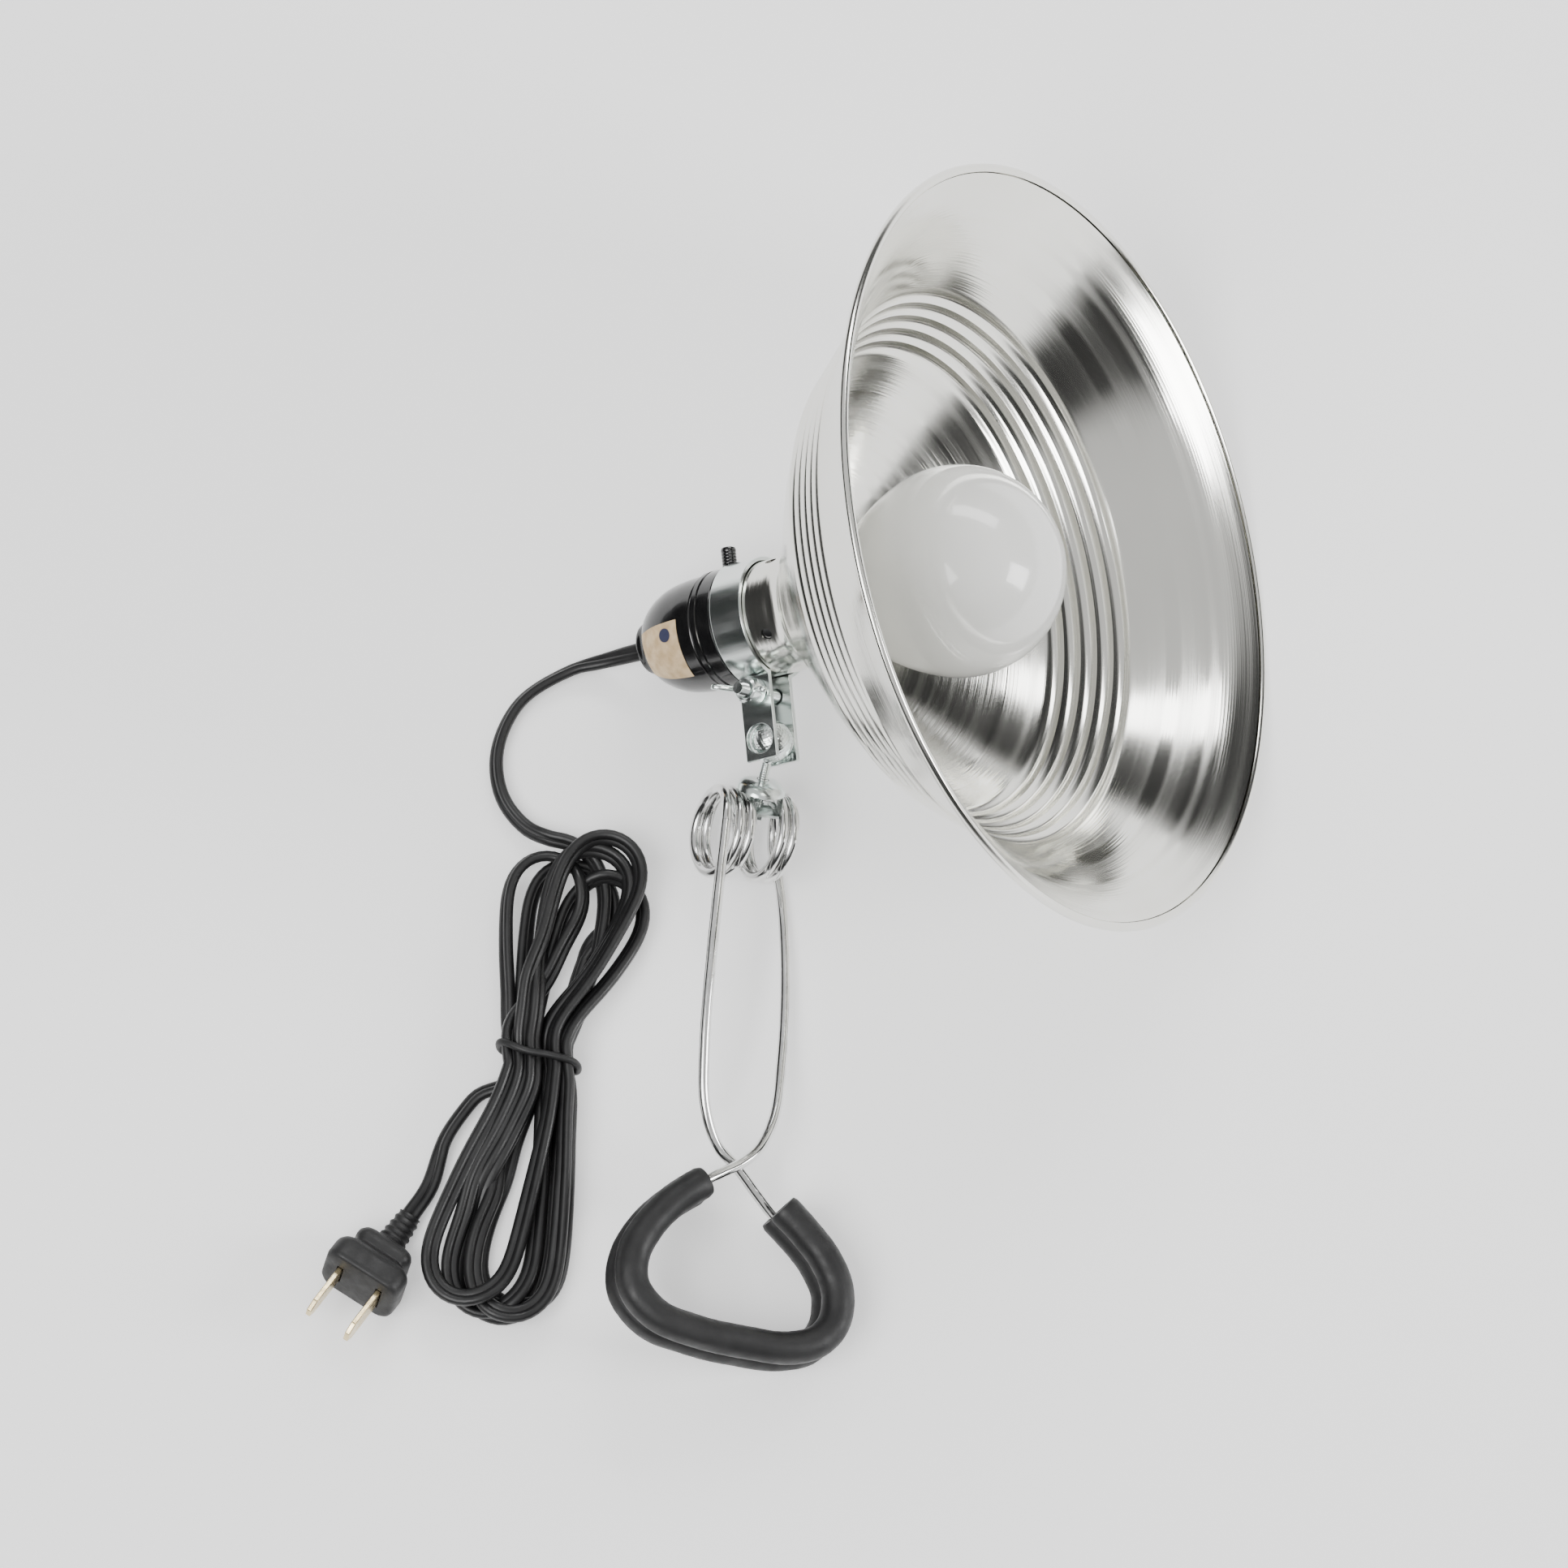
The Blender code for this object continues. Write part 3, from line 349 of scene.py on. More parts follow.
class Look:
    """A Principled material with short ways to add noise-driven colour, roughness and bump."""

    def __init__(self, name, colour, roughness, metallic=0.0, local=None, **values):
        self.material = bpy.data.materials.new(name)
        self.material.use_nodes = True
        self.nodes, self.links = self.material.node_tree.nodes, self.material.node_tree.links
        self.shader = self.nodes["Principled BSDF"]
        self.colour = colour
        self.set("Base Color", (*colour, 1.0))
        self.set("Roughness", roughness)
        self.set("Metallic", metallic)
        for key, value in values.items():
            self.set(key.replace("_", " ").title().replace("Ior", "IOR"), value)
        self.place = self.nodes.new("ShaderNodeTexCoord").outputs["Object"]
        if local is not None:
            mapping = self.nodes.new("ShaderNodeMapping")
            mapping.vector_type = "TEXTURE"
            mapping.inputs["Location"].default_value = local.translation
            mapping.inputs["Rotation"].default_value = local.to_euler()
            self.links.new(self.place, mapping.inputs["Vector"])
            self.place = mapping.outputs[0]

    def set(self, socket, value):
        self.shader.inputs[socket].default_value = value

    def noise(self, scale, detail=3.0, stretch=(1, 1, 1), where=None):
        mapping = self.nodes.new("ShaderNodeMapping")
        mapping.inputs["Scale"].default_value = stretch
        self.links.new(where or self.place, mapping.inputs["Vector"])
        made = self.nodes.new("ShaderNodeTexNoise")
        made.inputs["Scale"].default_value = scale
        made.inputs["Detail"].default_value = detail
        self.links.new(mapping.outputs[0], made.inputs["Vector"])
        return made.outputs["Fac"]

    def ranged(self, value, low, high, start=0.3, stop=0.7):
        made = self.nodes.new("ShaderNodeMapRange")
        for key, number in (("From Min", start), ("From Max", stop), ("To Min", low), ("To Max", high)):
            made.inputs[key].default_value = number
        self.links.new(value, made.inputs["Value"])
        return made.outputs["Result"]

    def mixed(self, value, first, second, start=0.35, stop=0.65):
        ramp = self.nodes.new("ShaderNodeValToRGB")
        ramp.color_ramp.elements[0].position, ramp.color_ramp.elements[0].color = start, (*first, 1)
        ramp.color_ramp.elements[1].position, ramp.color_ramp.elements[1].color = stop, (*second, 1)
        self.links.new(value, ramp.inputs["Fac"])
        return ramp.outputs["Color"]

    def colour_from(self, value, first, second, start=0.35, stop=0.65):
        self.links.new(self.mixed(value, first, second, start, stop), self.shader.inputs["Base Color"])

    def roughness_from(self, value, low, high):
        self.links.new(self.ranged(value, low, high), self.shader.inputs["Roughness"])

    def bump(self, value, distance, strength=1.0):
        made = self.nodes.new("ShaderNodeBump")
        made.inputs["Distance"].default_value = distance
        made.inputs["Strength"].default_value = strength
        self.links.new(value, made.inputs["Height"])
        earlier = self.shader.inputs["Normal"].links
        if earlier:
            self.links.new(earlier[0].from_socket, made.inputs["Normal"])
        self.links.new(made.outputs[0], self.shader.inputs["Normal"])

    def along_turning(self, scale, detail=2.0):
        """Noise that is the same all round the Z axis: the lines that turning or spinning leaves."""
        split = self.nodes.new("ShaderNodeSeparateXYZ")
        self.links.new(self.place, split.inputs[0])
        sizes = []
        for axis in "XY":
            made = self.math("MULTIPLY", split.outputs[axis], split.outputs[axis])
            sizes.append(made)
        radius = self.math("SQRT", self.math("ADD", *sizes))
        line = self.math("ADD", radius, split.outputs["Z"])
        made = self.nodes.new("ShaderNodeTexNoise")
        made.noise_dimensions = "1D"
        made.inputs["Scale"].default_value = scale
        made.inputs["Detail"].default_value = detail
        self.links.new(line, made.inputs["W"])
        return made.outputs["Fac"]

    def math(self, operation, first, second=None):
        made = self.nodes.new("ShaderNodeMath")
        made.operation = operation
        for socket, value in zip(made.inputs, (first, second)):
            if value is None:
                continue
            if isinstance(value, (int, float)):
                socket.default_value = value
            else:
                self.links.new(value, socket)
        return made.outputs[0]


def make_spun_look(name, local=None):
    """Spun aluminium. The shade's mesh is in world coordinates, so its look is given its frame."""
    spun = Look(name, (0.80, 0.80, 0.78), 0.16, 1.0, local, anisotropic=0.45)
    if local is None:
        around = spun.nodes.new("ShaderNodeTangent")
        around.direction_type, around.axis = "RADIAL", "Z"
        tangent = around.outputs[0]
    else:
        out = spun.nodes.new("ShaderNodeVectorMath")
        out.operation = "SUBTRACT"
        spun.links.new(spun.nodes["Texture Coordinate"].outputs["Object"], out.inputs[0])
        out.inputs[1].default_value = local.translation
        cross = spun.nodes.new("ShaderNodeVectorMath")
        cross.operation = "CROSS_PRODUCT"
        cross.inputs[0].default_value = local.col[2].to_3d()
        spun.links.new(out.outputs[0], cross.inputs[1])
        unit = spun.nodes.new("ShaderNodeVectorMath")
        unit.operation = "NORMALIZE"
        spun.links.new(cross.outputs[0], unit.inputs[0])
        tangent = unit.outputs[0]
    spun.links.new(tangent, spun.shader.inputs["Tangent"])
    lines = spun.along_turning(900.0)
    spun.bump(lines, 0.00006, 0.55)
    spun.roughness_from(spun.along_turning(160.0), 0.11, 0.20)
    spun.colour_from(spun.noise(14.0, 4.0), (0.76, 0.755, 0.71), (0.84, 0.835, 0.79))
    return spun


def make_looks():
    looks = {"spun": make_spun_look("spun_aluminium_look"), "shade": make_spun_look("spun_shade_look", LAMP)}

    zinc = Look("zinc_plate_look", (0.72, 0.78, 0.75), 0.26, 1.0)
    zinc.colour_from(zinc.noise(150.0, 4.0, (1, 1, 0.2)), (0.67, 0.74, 0.71), (0.80, 0.83, 0.82))
    zinc.roughness_from(zinc.noise(300.0, 4.0, (1, 1, 0.2)), 0.14, 0.26)
    zinc.bump(zinc.noise(1100.0, 3.0, (1, 1, 0.15)), 0.00002, 0.4)
    looks["zinc"] = zinc

    chrome = Look("chrome_wire_look", (0.74, 0.74, 0.73), 0.12, 1.0)
    chrome.colour_from(chrome.noise(160.0, 3.0), (0.66, 0.66, 0.65), (0.80, 0.80, 0.79))
    chrome.roughness_from(chrome.noise(500.0, 4.0), 0.08, 0.20)
    chrome.bump(chrome.noise(1400.0, 2.0), 0.00002, 0.5)
    looks["chrome"] = chrome

    phenolic = Look("black_phenolic_look", (0.006, 0.006, 0.0065), 0.14, coat_weight=0.4, coat_roughness=0.06)
    phenolic.roughness_from(phenolic.noise(300.0, 5.0), 0.10, 0.24)
    phenolic.colour_from(phenolic.noise(120.0), (0.005, 0.005, 0.0055), (0.008, 0.008, 0.0085))
    phenolic.bump(phenolic.noise(700.0, 3.0), 0.00003, 0.3)
    looks["phenolic"] = phenolic

    vinyl = Look("black_vinyl_look", (0.009, 0.009, 0.0095), 0.46)
    vinyl.colour_from(vinyl.noise(90.0, 4.0), (0.006, 0.006, 0.0065), (0.013, 0.013, 0.0135))
    vinyl.roughness_from(vinyl.noise(260.0, 5.0), 0.42, 0.62)
    vinyl.bump(vinyl.noise(1600.0, 4.0), 0.00008, 0.5)
    vinyl.bump(vinyl.noise(120.0, 3.0), 0.0004, 0.35)
    looks["vinyl"] = vinyl

    cord = Look("black_cord_look", (0.010, 0.010, 0.0105), 0.36)
    cord.colour_from(cord.noise(60.0, 4.0), (0.007, 0.007, 0.0075), (0.014, 0.014, 0.0145))
    cord.roughness_from(cord.noise(200.0, 5.0), 0.32, 0.50)
    cord.bump(cord.noise(1800.0, 3.0), 0.00005, 0.5)
    looks["cord"] = cord

    brass = Look("brass_look", (0.72, 0.60, 0.34), 0.28, 1.0)
    brass.colour_from(brass.noise(200.0, 4.0), (0.62, 0.50, 0.28), (0.80, 0.68, 0.42))
    brass.roughness_from(brass.noise(600.0, 4.0), 0.20, 0.38)
    brass.bump(brass.noise(1500.0, 2.0, (1, 1, 0.2)), 0.00003, 0.5)
    looks["brass"] = brass

    fibre = Look("fibre_look", (0.30, 0.22, 0.15), 0.80)
    fibre.colour_from(fibre.noise(700.0, 5.0), (0.22, 0.15, 0.10), (0.38, 0.29, 0.20))
    fibre.roughness_from(fibre.noise(500.0), 0.70, 0.90)
    fibre.bump(fibre.noise(1500.0), 0.0001, 0.5)
    looks["fibre"] = fibre

    globe = Look("frosted_glass_look", (0.93, 0.93, 0.90), 0.16, subsurface_weight=0.25, coat_weight=0.6,
                 coat_roughness=0.05)
    globe.set("Subsurface Radius", (0.010, 0.010, 0.010))
    globe.set("Subsurface Scale", 0.6)
    globe.colour_from(globe.noise(30.0, 3.0), (0.93, 0.93, 0.89), (0.96, 0.96, 0.92))
    globe.roughness_from(globe.noise(900.0, 3.0), 0.12, 0.22)
    globe.bump(globe.noise(2500.0, 2.0), 0.00002, 0.4)
    looks["globe"] = globe

    clear = Look("clear_glass_look", (0.80, 0.86, 0.86), 0.05, transmission_weight=0.9)
    clear.roughness_from(clear.noise(400.0), 0.03, 0.09)
    clear.bump(clear.noise(500.0), 0.00005, 0.3)
    looks["clear"] = clear

    tungsten = Look("tungsten_look", (0.30, 0.30, 0.32), 0.40, 1.0)
    tungsten.colour_from(tungsten.noise(900.0), (0.24, 0.24, 0.26), (0.36, 0.36, 0.38))
    tungsten.bump(tungsten.noise(3000.0), 0.00002, 0.4)
    looks["tungsten"] = tungsten
    looks["label"] = make_label_look()
    return {name: look.material for name, look in looks.items()}


def make_label_look():
    """Cream printed paper with one plain dark dot, faded at its edges."""
    label = Look("label_paper_look", (0.68, 0.49, 0.27), 0.50)
    paper = label.mixed(label.noise(350.0, 5.0), (0.58, 0.40, 0.21), (0.76, 0.58, 0.35))
    dot_at = Vector((0.0160 * cos(radians(-84)), 0.0160 * sin(radians(-84)), 0.0160))
    apart = label.nodes.new("ShaderNodeVectorMath")
    apart.operation = "DISTANCE"
    apart.inputs[1].default_value = dot_at
    label.links.new(label.place, apart.inputs[0])
    inside = label.ranged(apart.outputs["Value"], 1.0, 0.0, 0.0019, 0.0022)
    mix = label.nodes.new("ShaderNodeMix")
    mix.data_type = "RGBA"
    label.links.new(inside, mix.inputs["Factor"])
    label.links.new(paper, mix.inputs["A"])
    mix.inputs["B"].default_value = (0.020, 0.024, 0.070, 1)
    label.links.new(mix.outputs["Result"], label.shader.inputs["Base Color"])
    label.roughness_from(label.noise(500.0), 0.45, 0.65)
    label.bump(label.noise(1800.0), 0.00004, 0.4)
    return label


# === reflector ==================================================================================

def build_reflector(looks):
    neck = line_2d([(COLLAR_RADIUS, 0.0500), (COLLAR_RADIUS, 0.0530), (0.0178, 0.0565), (0.0245, 0.0612),
                    (0.0345, 0.0690), (0.0480, 0.0785), (0.0580, 0.0860), STEP_START], 0.0011)
    line = [(COLLAR_RADIUS + 0.0004, COLLAR_START), (COLLAR_RADIUS + 0.0004, COLLAR_START + 0.0006)]
    line += [(COLLAR_RADIUS, z) for z in np.arange(COLLAR_START + 0.0012, 0.0495, 0.0014)] + neck
    run = Vector(STEP_END) - Vector(STEP_START)
    out = Vector((run.y, -run.x)).normalized()
    for k in range(1, STEP_COUNT * 10 + 1):
        along = k / (STEP_COUNT * 10)
        swell = STEP_HEIGHT * abs(sin(pi * STEP_COUNT * along)) ** 0.8
        place = Vector(STEP_START) + run * along + out * swell
        line.append((place.x, place.y))
    line += line_2d([STEP_END, (0.0848, 0.1186), (0.0915, 0.1265), (0.0990, 0.1335),
                     (RIM_RADIUS - RIM_BEAD, RIM_DEPTH - 0.0006)], 0.0012)[1:]
    line += [(RIM_RADIUS + RIM_BEAD * cos(a), RIM_DEPTH + RIM_BEAD * sin(a))
             for a in np.radians(range(-120, 151, 30))]
    shade = finish_piece("reflector_shade", turned(thickened(line, SHEET), 176), looks["shade"], "head", LAMP,
                         ["reflector"])
    tools = []
    for k in range(4):
        angle = radians(-60) + k * pi / 2
        way = Vector((cos(angle), sin(angle), 0))
        near = way * (COLLAR_RADIUS - 0.004) + Vector((0, 0, 0.0490))
        tools.append(rod_shape([near, near + way * 0.008], 0.0017, 20))
    cut(shade, tools)
    shade.data.transform(LAMP)
    shade.matrix_world = Matrix.Identity(4)


# === socket =====================================================================================

CAP_LINE = [(0.0074, 0.0), (0.0078, 0.0028), (0.0108, 0.0048), (0.0136, 0.0086), (0.0154, 0.0130),
            (0.0163, 0.0185), (0.0166, CAP_LENGTH)]


def build_socket(looks):
    outer = [(0.0068, 0.0), (0.0073, 0.0003)] + line_2d(CAP_LINE, 0.0006)[1:-1]
    outer += [(0.0166, CAP_LENGTH - 0.0003), (0.0164, CAP_LENGTH)]
    inner = [(0.0155, CAP_LENGTH), (0.0149, 0.0185), (0.0136, 0.0120), (0.0105, 0.0070), (0.0050, 0.0048),
             (0.0050, 0.0)]
    finish_piece("socket_rear_shell", turned(outer + inner, 112), looks["phenolic"], "head", LAMP,
                 ["socket_cap"])
    seam = CAP_LENGTH + 0.0003
    barrel = [(BARREL_RADIUS - 0.0005, seam), (BARREL_RADIUS, seam + 0.0005), (BARREL_RADIUS, 0.0272),
              (BARREL_RADIUS - 0.0004, 0.0275), (BARREL_RADIUS - 0.0004, 0.0279), (BARREL_RADIUS, 0.0282),
              (BARREL_RADIUS, BARREL_STEP - 0.0005), (BARREL_RADIUS - 0.0005, BARREL_STEP),
              (BARREL_NOSE, BARREL_STEP), (BARREL_NOSE, BARREL_END - 0.0004),
              (BARREL_NOSE - 0.0003, BARREL_END),
              (BARREL_BORE, BARREL_END), (BARREL_BORE, seam)]
    shell = finish_piece("socket_front_shell", turned(barrel, 112), looks["phenolic"], "head", LAMP,
                         ["socket_barrel"])
    through = [Vector((-0.03, 0, SWITCH_AT)), Vector((0.03, 0, SWITCH_AT))]
    cut(shell, [rod_shape(through, SWITCH_RADIUS + 0.0003, 24)])
    button = [(0, -0.0236), (0.0014, -0.0236), (0.0020, -0.0233), (SWITCH_RADIUS, -0.0228)]
    for k in range(5):
        low = -0.0222 + k * 0.0009
        button += [(SWITCH_RADIUS, low), (SWITCH_RADIUS - 0.0002, low + 0.0003),
                   (SWITCH_RADIUS, low + 0.0006)]
    button += [(SWITCH_RADIUS, 0.0178), (0.0014, 0.0186), (0, 0.0186)]
    shape = turned(button, 32)
    turn = Matrix.Translation((0, 0, SWITCH_AT)) @ Matrix.Rotation(radians(90), 4, "Y")
    bmesh.ops.transform(shape, matrix=turn, verts=shape.verts)
    finish_piece("switch_button", shape, looks["phenolic"], "switch", LAMP, ["switch_rod"])
    bushing = [(0.0032, -0.0012), (0.0036, -0.0016), (0.0042, -0.0016), (0.0046, -0.0012), (0.0046, 0.0050),
               (0.0044, 0.0052), (0.0032, 0.0052)]
    finish_piece("cord_bushing_ring", turned(bushing, 48), looks["vinyl"], "head", LAMP, ["cord_bushing"])
    radius, height = zip(*line_2d(CAP_LINE, 0.0006))
    rows = [(np.interp(z, height, radius) + 0.00012, z) for z in np.linspace(0.0055, 0.0205, 14)]
    finish_piece("socket_label_sheet", turned(thickened(rows, -0.00012), 30, radians(-97), radians(62)),
                 looks["label"], "head", LAMP, ["socket_label"])


# === bulb =======================================================================================

def build_bulb(looks):
    line = [(0.0119, 0.0500), (0.0119, BULB_CAP_END)]
    neck = [(0.0119, BULB_CAP_END + 0.0004), (0.0136, 0.0632), (0.0155, 0.0705), (0.0200, 0.0795),
            (0.0253, 0.0888)]
    globe = [(GLOBE_RADIUS * cos(a), GLOBE_AT + GLOBE_RADIUS * sin(a)) for a in np.radians(range(-15, 90, 7))]
    line += line_2d(neck + globe, 0.0014) + [(0, GLOBE_AT + GLOBE_RADIUS)]
    inner = [(max(r - 0.0008, 0.0), z if z < GLOBE_AT else GLOBE_AT + (z - GLOBE_AT) * 0.973)
             for r, z in line]
    finish_piece("bulb_globe", turned(line + inner[::-1], 96), looks["globe"], "bulb", LAMP, ["bulb_glass"])
    thread = [(0.0124, BULB_CAP_START)]
    for k in range(36):
        z = BULB_CAP_START + 0.0004 + k * 0.0005
        thread.append((0.01265 + 0.0005 * sin(2 * pi * z / 0.0036), z))
    thread += [(0.0127, BULB_CAP_END), (0.0123, BULB_CAP_END), (0.0120, BULB_CAP_START + 0.0010)]
    finish_piece("bulb_base", turned(thread, 72), looks["spun"], "bulb", LAMP, ["bulb_screw_cap"])


# === band clamp, wing nut and ball joint ========================================================

def build_band(looks):
    wide = atan2(EAR_OUTSIDE, sqrt(BAND_OUTER ** 2 - EAR_OUTSIDE ** 2))
    narrow = atan2(EAR_INSIDE, sqrt(BAND_INNER ** 2 - EAR_INSIDE ** 2))
    outline = arc((0, 0), BAND_OUTER, wide, 2 * pi - wide, 90)
    outline += [(EAR_REACH, -EAR_OUTSIDE), (EAR_REACH, -EAR_INSIDE)]
    outline += arc((0, 0), BAND_INNER, 2 * pi - narrow, narrow, 90)
    outline += [(EAR_REACH, EAR_INSIDE), (EAR_REACH, EAR_OUTSIDE)]
    band = finish_piece("neck_band", extruded(outline, BAND_START, BAND_END), looks["zinc"], "head", LAMP,
                        ["band_clamp"])
    tools = []
    for reach, radius in ((BOLT_REACH, BOLT_RADIUS + 0.0003), (BALL_REACH, BALL_SEAT)):
        hole = [Vector((reach, -0.02, BAND_MID)), Vector((reach, 0.02, BAND_MID))]
        tools.append(rod_shape(hole, radius, 40))
    cut(band, tools)
    rounded_edges(band, 0.00022)

    to_bolt = Matrix.Translation((BOLT_REACH, 0, BAND_MID)) @ Matrix.Rotation(radians(-90), 4, "X")
    thread = [(0, -0.0150), (0.0016, -0.0150)]
    for k in range(12):
        low = -0.0147 + k * 0.0007
        thread += [(0.0016, low), (BOLT_RADIUS, low + 0.00035)]
    bolt = thread + [(BOLT_RADIUS, EAR_OUTSIDE + 0.0003), (0.0038, EAR_OUTSIDE + 0.0003), (0.0040, 0.0067),
                     (0.0037, 0.0079), (0.0028, 0.0087), (0.0014, 0.0091), (0, 0.0092)]
    shape = turned(bolt, 40)
    finish_piece("clamp_bolt", shape, looks["zinc"], "head", LAMP @ to_bolt, ["band_bolt"])

    hub = [(0.0023, -0.0115), (0.0030, -0.0117), (0.0036, -0.0112), (0.0038, -0.0100), (0.0040, -0.0070),
           (0.0039, -0.0064), (0.0036, -0.0063), (0.0023, -0.0063)]
    shape = turned(hub, 40)
    outline = [(0.0030, -0.0070), (0.0050, -0.0080), (0.0070, -0.0112), (0.0088, -0.0132), (0.0094, -0.0146),
               (0.0084, -0.0154), (0.0066, -0.0148), (0.0048, -0.0130), (0.0030, -0.0114)]
    loop = line_2d(outline, 0.0005)
    for side in (-1, 1):
        wing = extruded([(side * x, y) for x, y in loop], -0.0008, 0.0008)
        bmesh.ops.recalc_face_normals(wing, faces=wing.faces)
        sides = [e for e in wing.edges if len({round(v.co.z, 5) for v in e.verts}) == 1]
        bmesh.ops.bevel(wing, geom=sides, offset=0.0005, segments=3, profile=0.5, affect="EDGES")
        upright = Matrix(((1, 0, 0, 0), (0, 0, 1, 0), (0, 1, 0, 0), (0, 0, 0, 1)))
        stand = Matrix.Rotation(WING_TURN, 4, "Z") @ upright
        bmesh.ops.transform(wing, matrix=stand, verts=wing.verts)
        part = bpy.data.meshes.new("wing")
        wing.to_mesh(part)
        wing.free()
        shape.from_mesh(part)
        bpy.data.meshes.remove(part)
    finish_piece("clamp_wing_nut", shape, looks["zinc"], "wing_nut", LAMP @ to_bolt, ["wing_nut"])


def build_ball_joint(looks):
    def knurl(r, z, angle):
        if r < 0.002:
            return 0.0
        return 0.00016 * (abs(sin(11 * angle + z * 2600)) + abs(sin(11 * angle - z * 2600))) - 0.00022

    ball = [(BALL_RADIUS * sin(a), -BALL_RADIUS * cos(a)) for a in np.radians(np.linspace(20, 180, 44))]
    ball = [(0.0018, ball[0][1])] + ball[:-1] + [(0, BALL_RADIUS), (0, 0.0020), (0.0018, 0.0020)]
    finish_piece("knurled_ball", turned(ball, 132, ripple=knurl), looks["zinc"], "ball", JOINT_FRAME,
                 ["swivel_ball"], 60)
    low = -STEM_LENGTH + COIL_RADIUS - 0.0072
    stem = [(0, low), (0.0012, low), (0.0015, low + 0.0003)]
    top = -BALL_RADIUS + 0.0001
    marks = np.arange(low + 0.0006, top, 0.00035)
    stem += [(STEM_RADIUS - 0.00016 * (k % 2), z) for k, z in enumerate(marks)]
    stem += [(STEM_RADIUS, top + 0.0004), (STEM_RADIUS, 0.0012), (0.0012, 0.0016), (0, 0.0016)]
    finish_piece("ball_stem", turned(stem, 32), looks["zinc"], "clamp", JOINT_FRAME, ["swivel_stem"])
    base = -STEM_LENGTH + COIL_RADIUS + WIRE + 0.0003
    cup = line_2d([(STEM_RADIUS + 0.0003, base + 0.0034), (0.0034, base + 0.0033), (0.0054, base + 0.0026),
                   (0.0067, base + 0.0014), (0.0072, base + 0.0002)], 0.0004)
    cup += [(0.0071, base), (0.0063, base)]
    cup += line_2d([(0.0062, base + 0.0004), (0.0050, base + 0.0015), (0.0034, base + 0.0023),
                    (STEM_RADIUS + 0.0003, base + 0.0024)], 0.0004)
    finish_piece("cup_washer", turned(cup, 64), looks["zinc"], "clamp", JOINT_FRAME, ["dome_washer"])


# === spring clamp ===============================================================================

COIL_START, COIL_CROSS, COIL_ACROSS, COIL_FINISH = -90.0, 630.0, 730.0, 1530.0
COIL_MIDDLE = (COIL_CROSS + COIL_ACROSS) / 2
COIL_LEAN = 0.2
STEM_ANGLE = atan2(STEM.dot(CLAMP.col[2].to_3d()), STEM.dot(CLAMP.col[1].to_3d()))


def coil_point(turn):
    """A point of the coil's centre line in the clamp frame, by its angle in degrees."""
    right_end = COIL_GAP + COIL_PITCH * (COIL_CROSS - COIL_START) / 360
    if turn < COIL_CROSS:
        along = right_end - COIL_PITCH * (turn - COIL_START) / 360
    elif turn < COIL_ACROSS:
        t = (turn - COIL_CROSS) / (COIL_ACROSS - COIL_CROSS)
        along = COIL_GAP * (1 - 2 * t * t * (3 - 2 * t))
    else:
        along = -COIL_GAP - COIL_PITCH * (turn - COIL_ACROSS) / 360
    leaning = min(1.0, (turn - COIL_START) / 180, (COIL_FINISH - turn) / 180)
    eased = leaning ** 2 * (3 - 2 * leaning)
    along += COIL_LEAN * COIL_RADIUS * (sin(radians(turn)) - sin(STEM_ANGLE)) * eased
    return Vector((along, COIL_RADIUS * cos(radians(turn)), COIL_RADIUS * sin(radians(turn))))


LEFT_END, RIGHT_END = coil_point(COIL_FINISH), coil_point(COIL_START)
HANDLE_LEFT = [LEFT_END, (-0.0118, -0.0140, 0.0117), (-0.0128, -0.0390, 0.0093),
               (-0.0130, -0.0640, 0.0062), (-0.0112, -0.0810, 0.0028), (-0.0062, -0.0915, -0.0004),
               (0.0000, -0.0966, -0.0019), (0.0068, -0.1035, -0.0038)]
HANDLE_RIGHT = [RIGHT_END, (0.0130, -0.0140, -0.0112), (0.0144, -0.0390, -0.0086),
                (0.0134, -0.0640, -0.0062), (0.0108, -0.0810, -0.0028), (0.0056, -0.0915, 0.0004),
                (0.0000, -0.0966, 0.0019), (-0.0052, -0.0998, 0.0036)]
JAW = [(-0.0109, -0.1033), (-0.0196, -0.1096), (-0.0268, -0.1178), (-0.0308, -0.1262), (-0.0304, -0.1355),
       (-0.0236, -0.1428), (-0.0120, -0.1465), (0.0025, -0.1483), (0.0154, -0.1487), (0.0236, -0.1460),
       (0.0284, -0.1395), (0.0288, -0.1300), (0.0250, -0.1222), (0.0188, -0.1150), (0.0120, -0.1087)]


def sleeve_shape(route, seed):
    """A vinyl tube along the wire, with square-cut ends, faint creases and slight unevenness."""
    pairs = path_frames(route)
    rims, last = [], len(route) - 1
    for i in range(last + 1):
        ring = []
        for k in range(28):
            a = 2 * pi * k / 28
            lump = noise.noise(Vector((cos(a) * 1.2, sin(a) * 1.2, i * 0.11 + seed))) * 0.00022
            crease = noise.noise(Vector((cos(a) * 0.5, i * 0.9 + seed, 3.0))) * 0.00008
            size = SLEEVE_OUTER - (0.0004 if i in (0, last) else 0.0) + lump + crease
            ring.append((size * cos(a), size * sin(a)))
        rims.append(ring)
    shape = bmesh.new()
    layers = [(i, rims[i]) for i in range(last + 1)]
    bore = circle(SLEEVE_INNER, 28)
    layers += [(i, bore) for i in range(last, -1, -1)]
    rings = []
    for i, ring in layers:
        side, up = pairs[i]
        rings.append([shape.verts.new(route[i] + x * side + y * up) for x, y in ring])
    for n in range(len(rings)):
        near, far = rings[n], rings[(n + 1) % len(rings)]
        for k in range(28):
            j = (k + 1) % 28
            shape.faces.new((near[k], near[j], far[j], far[k]))
    return shape


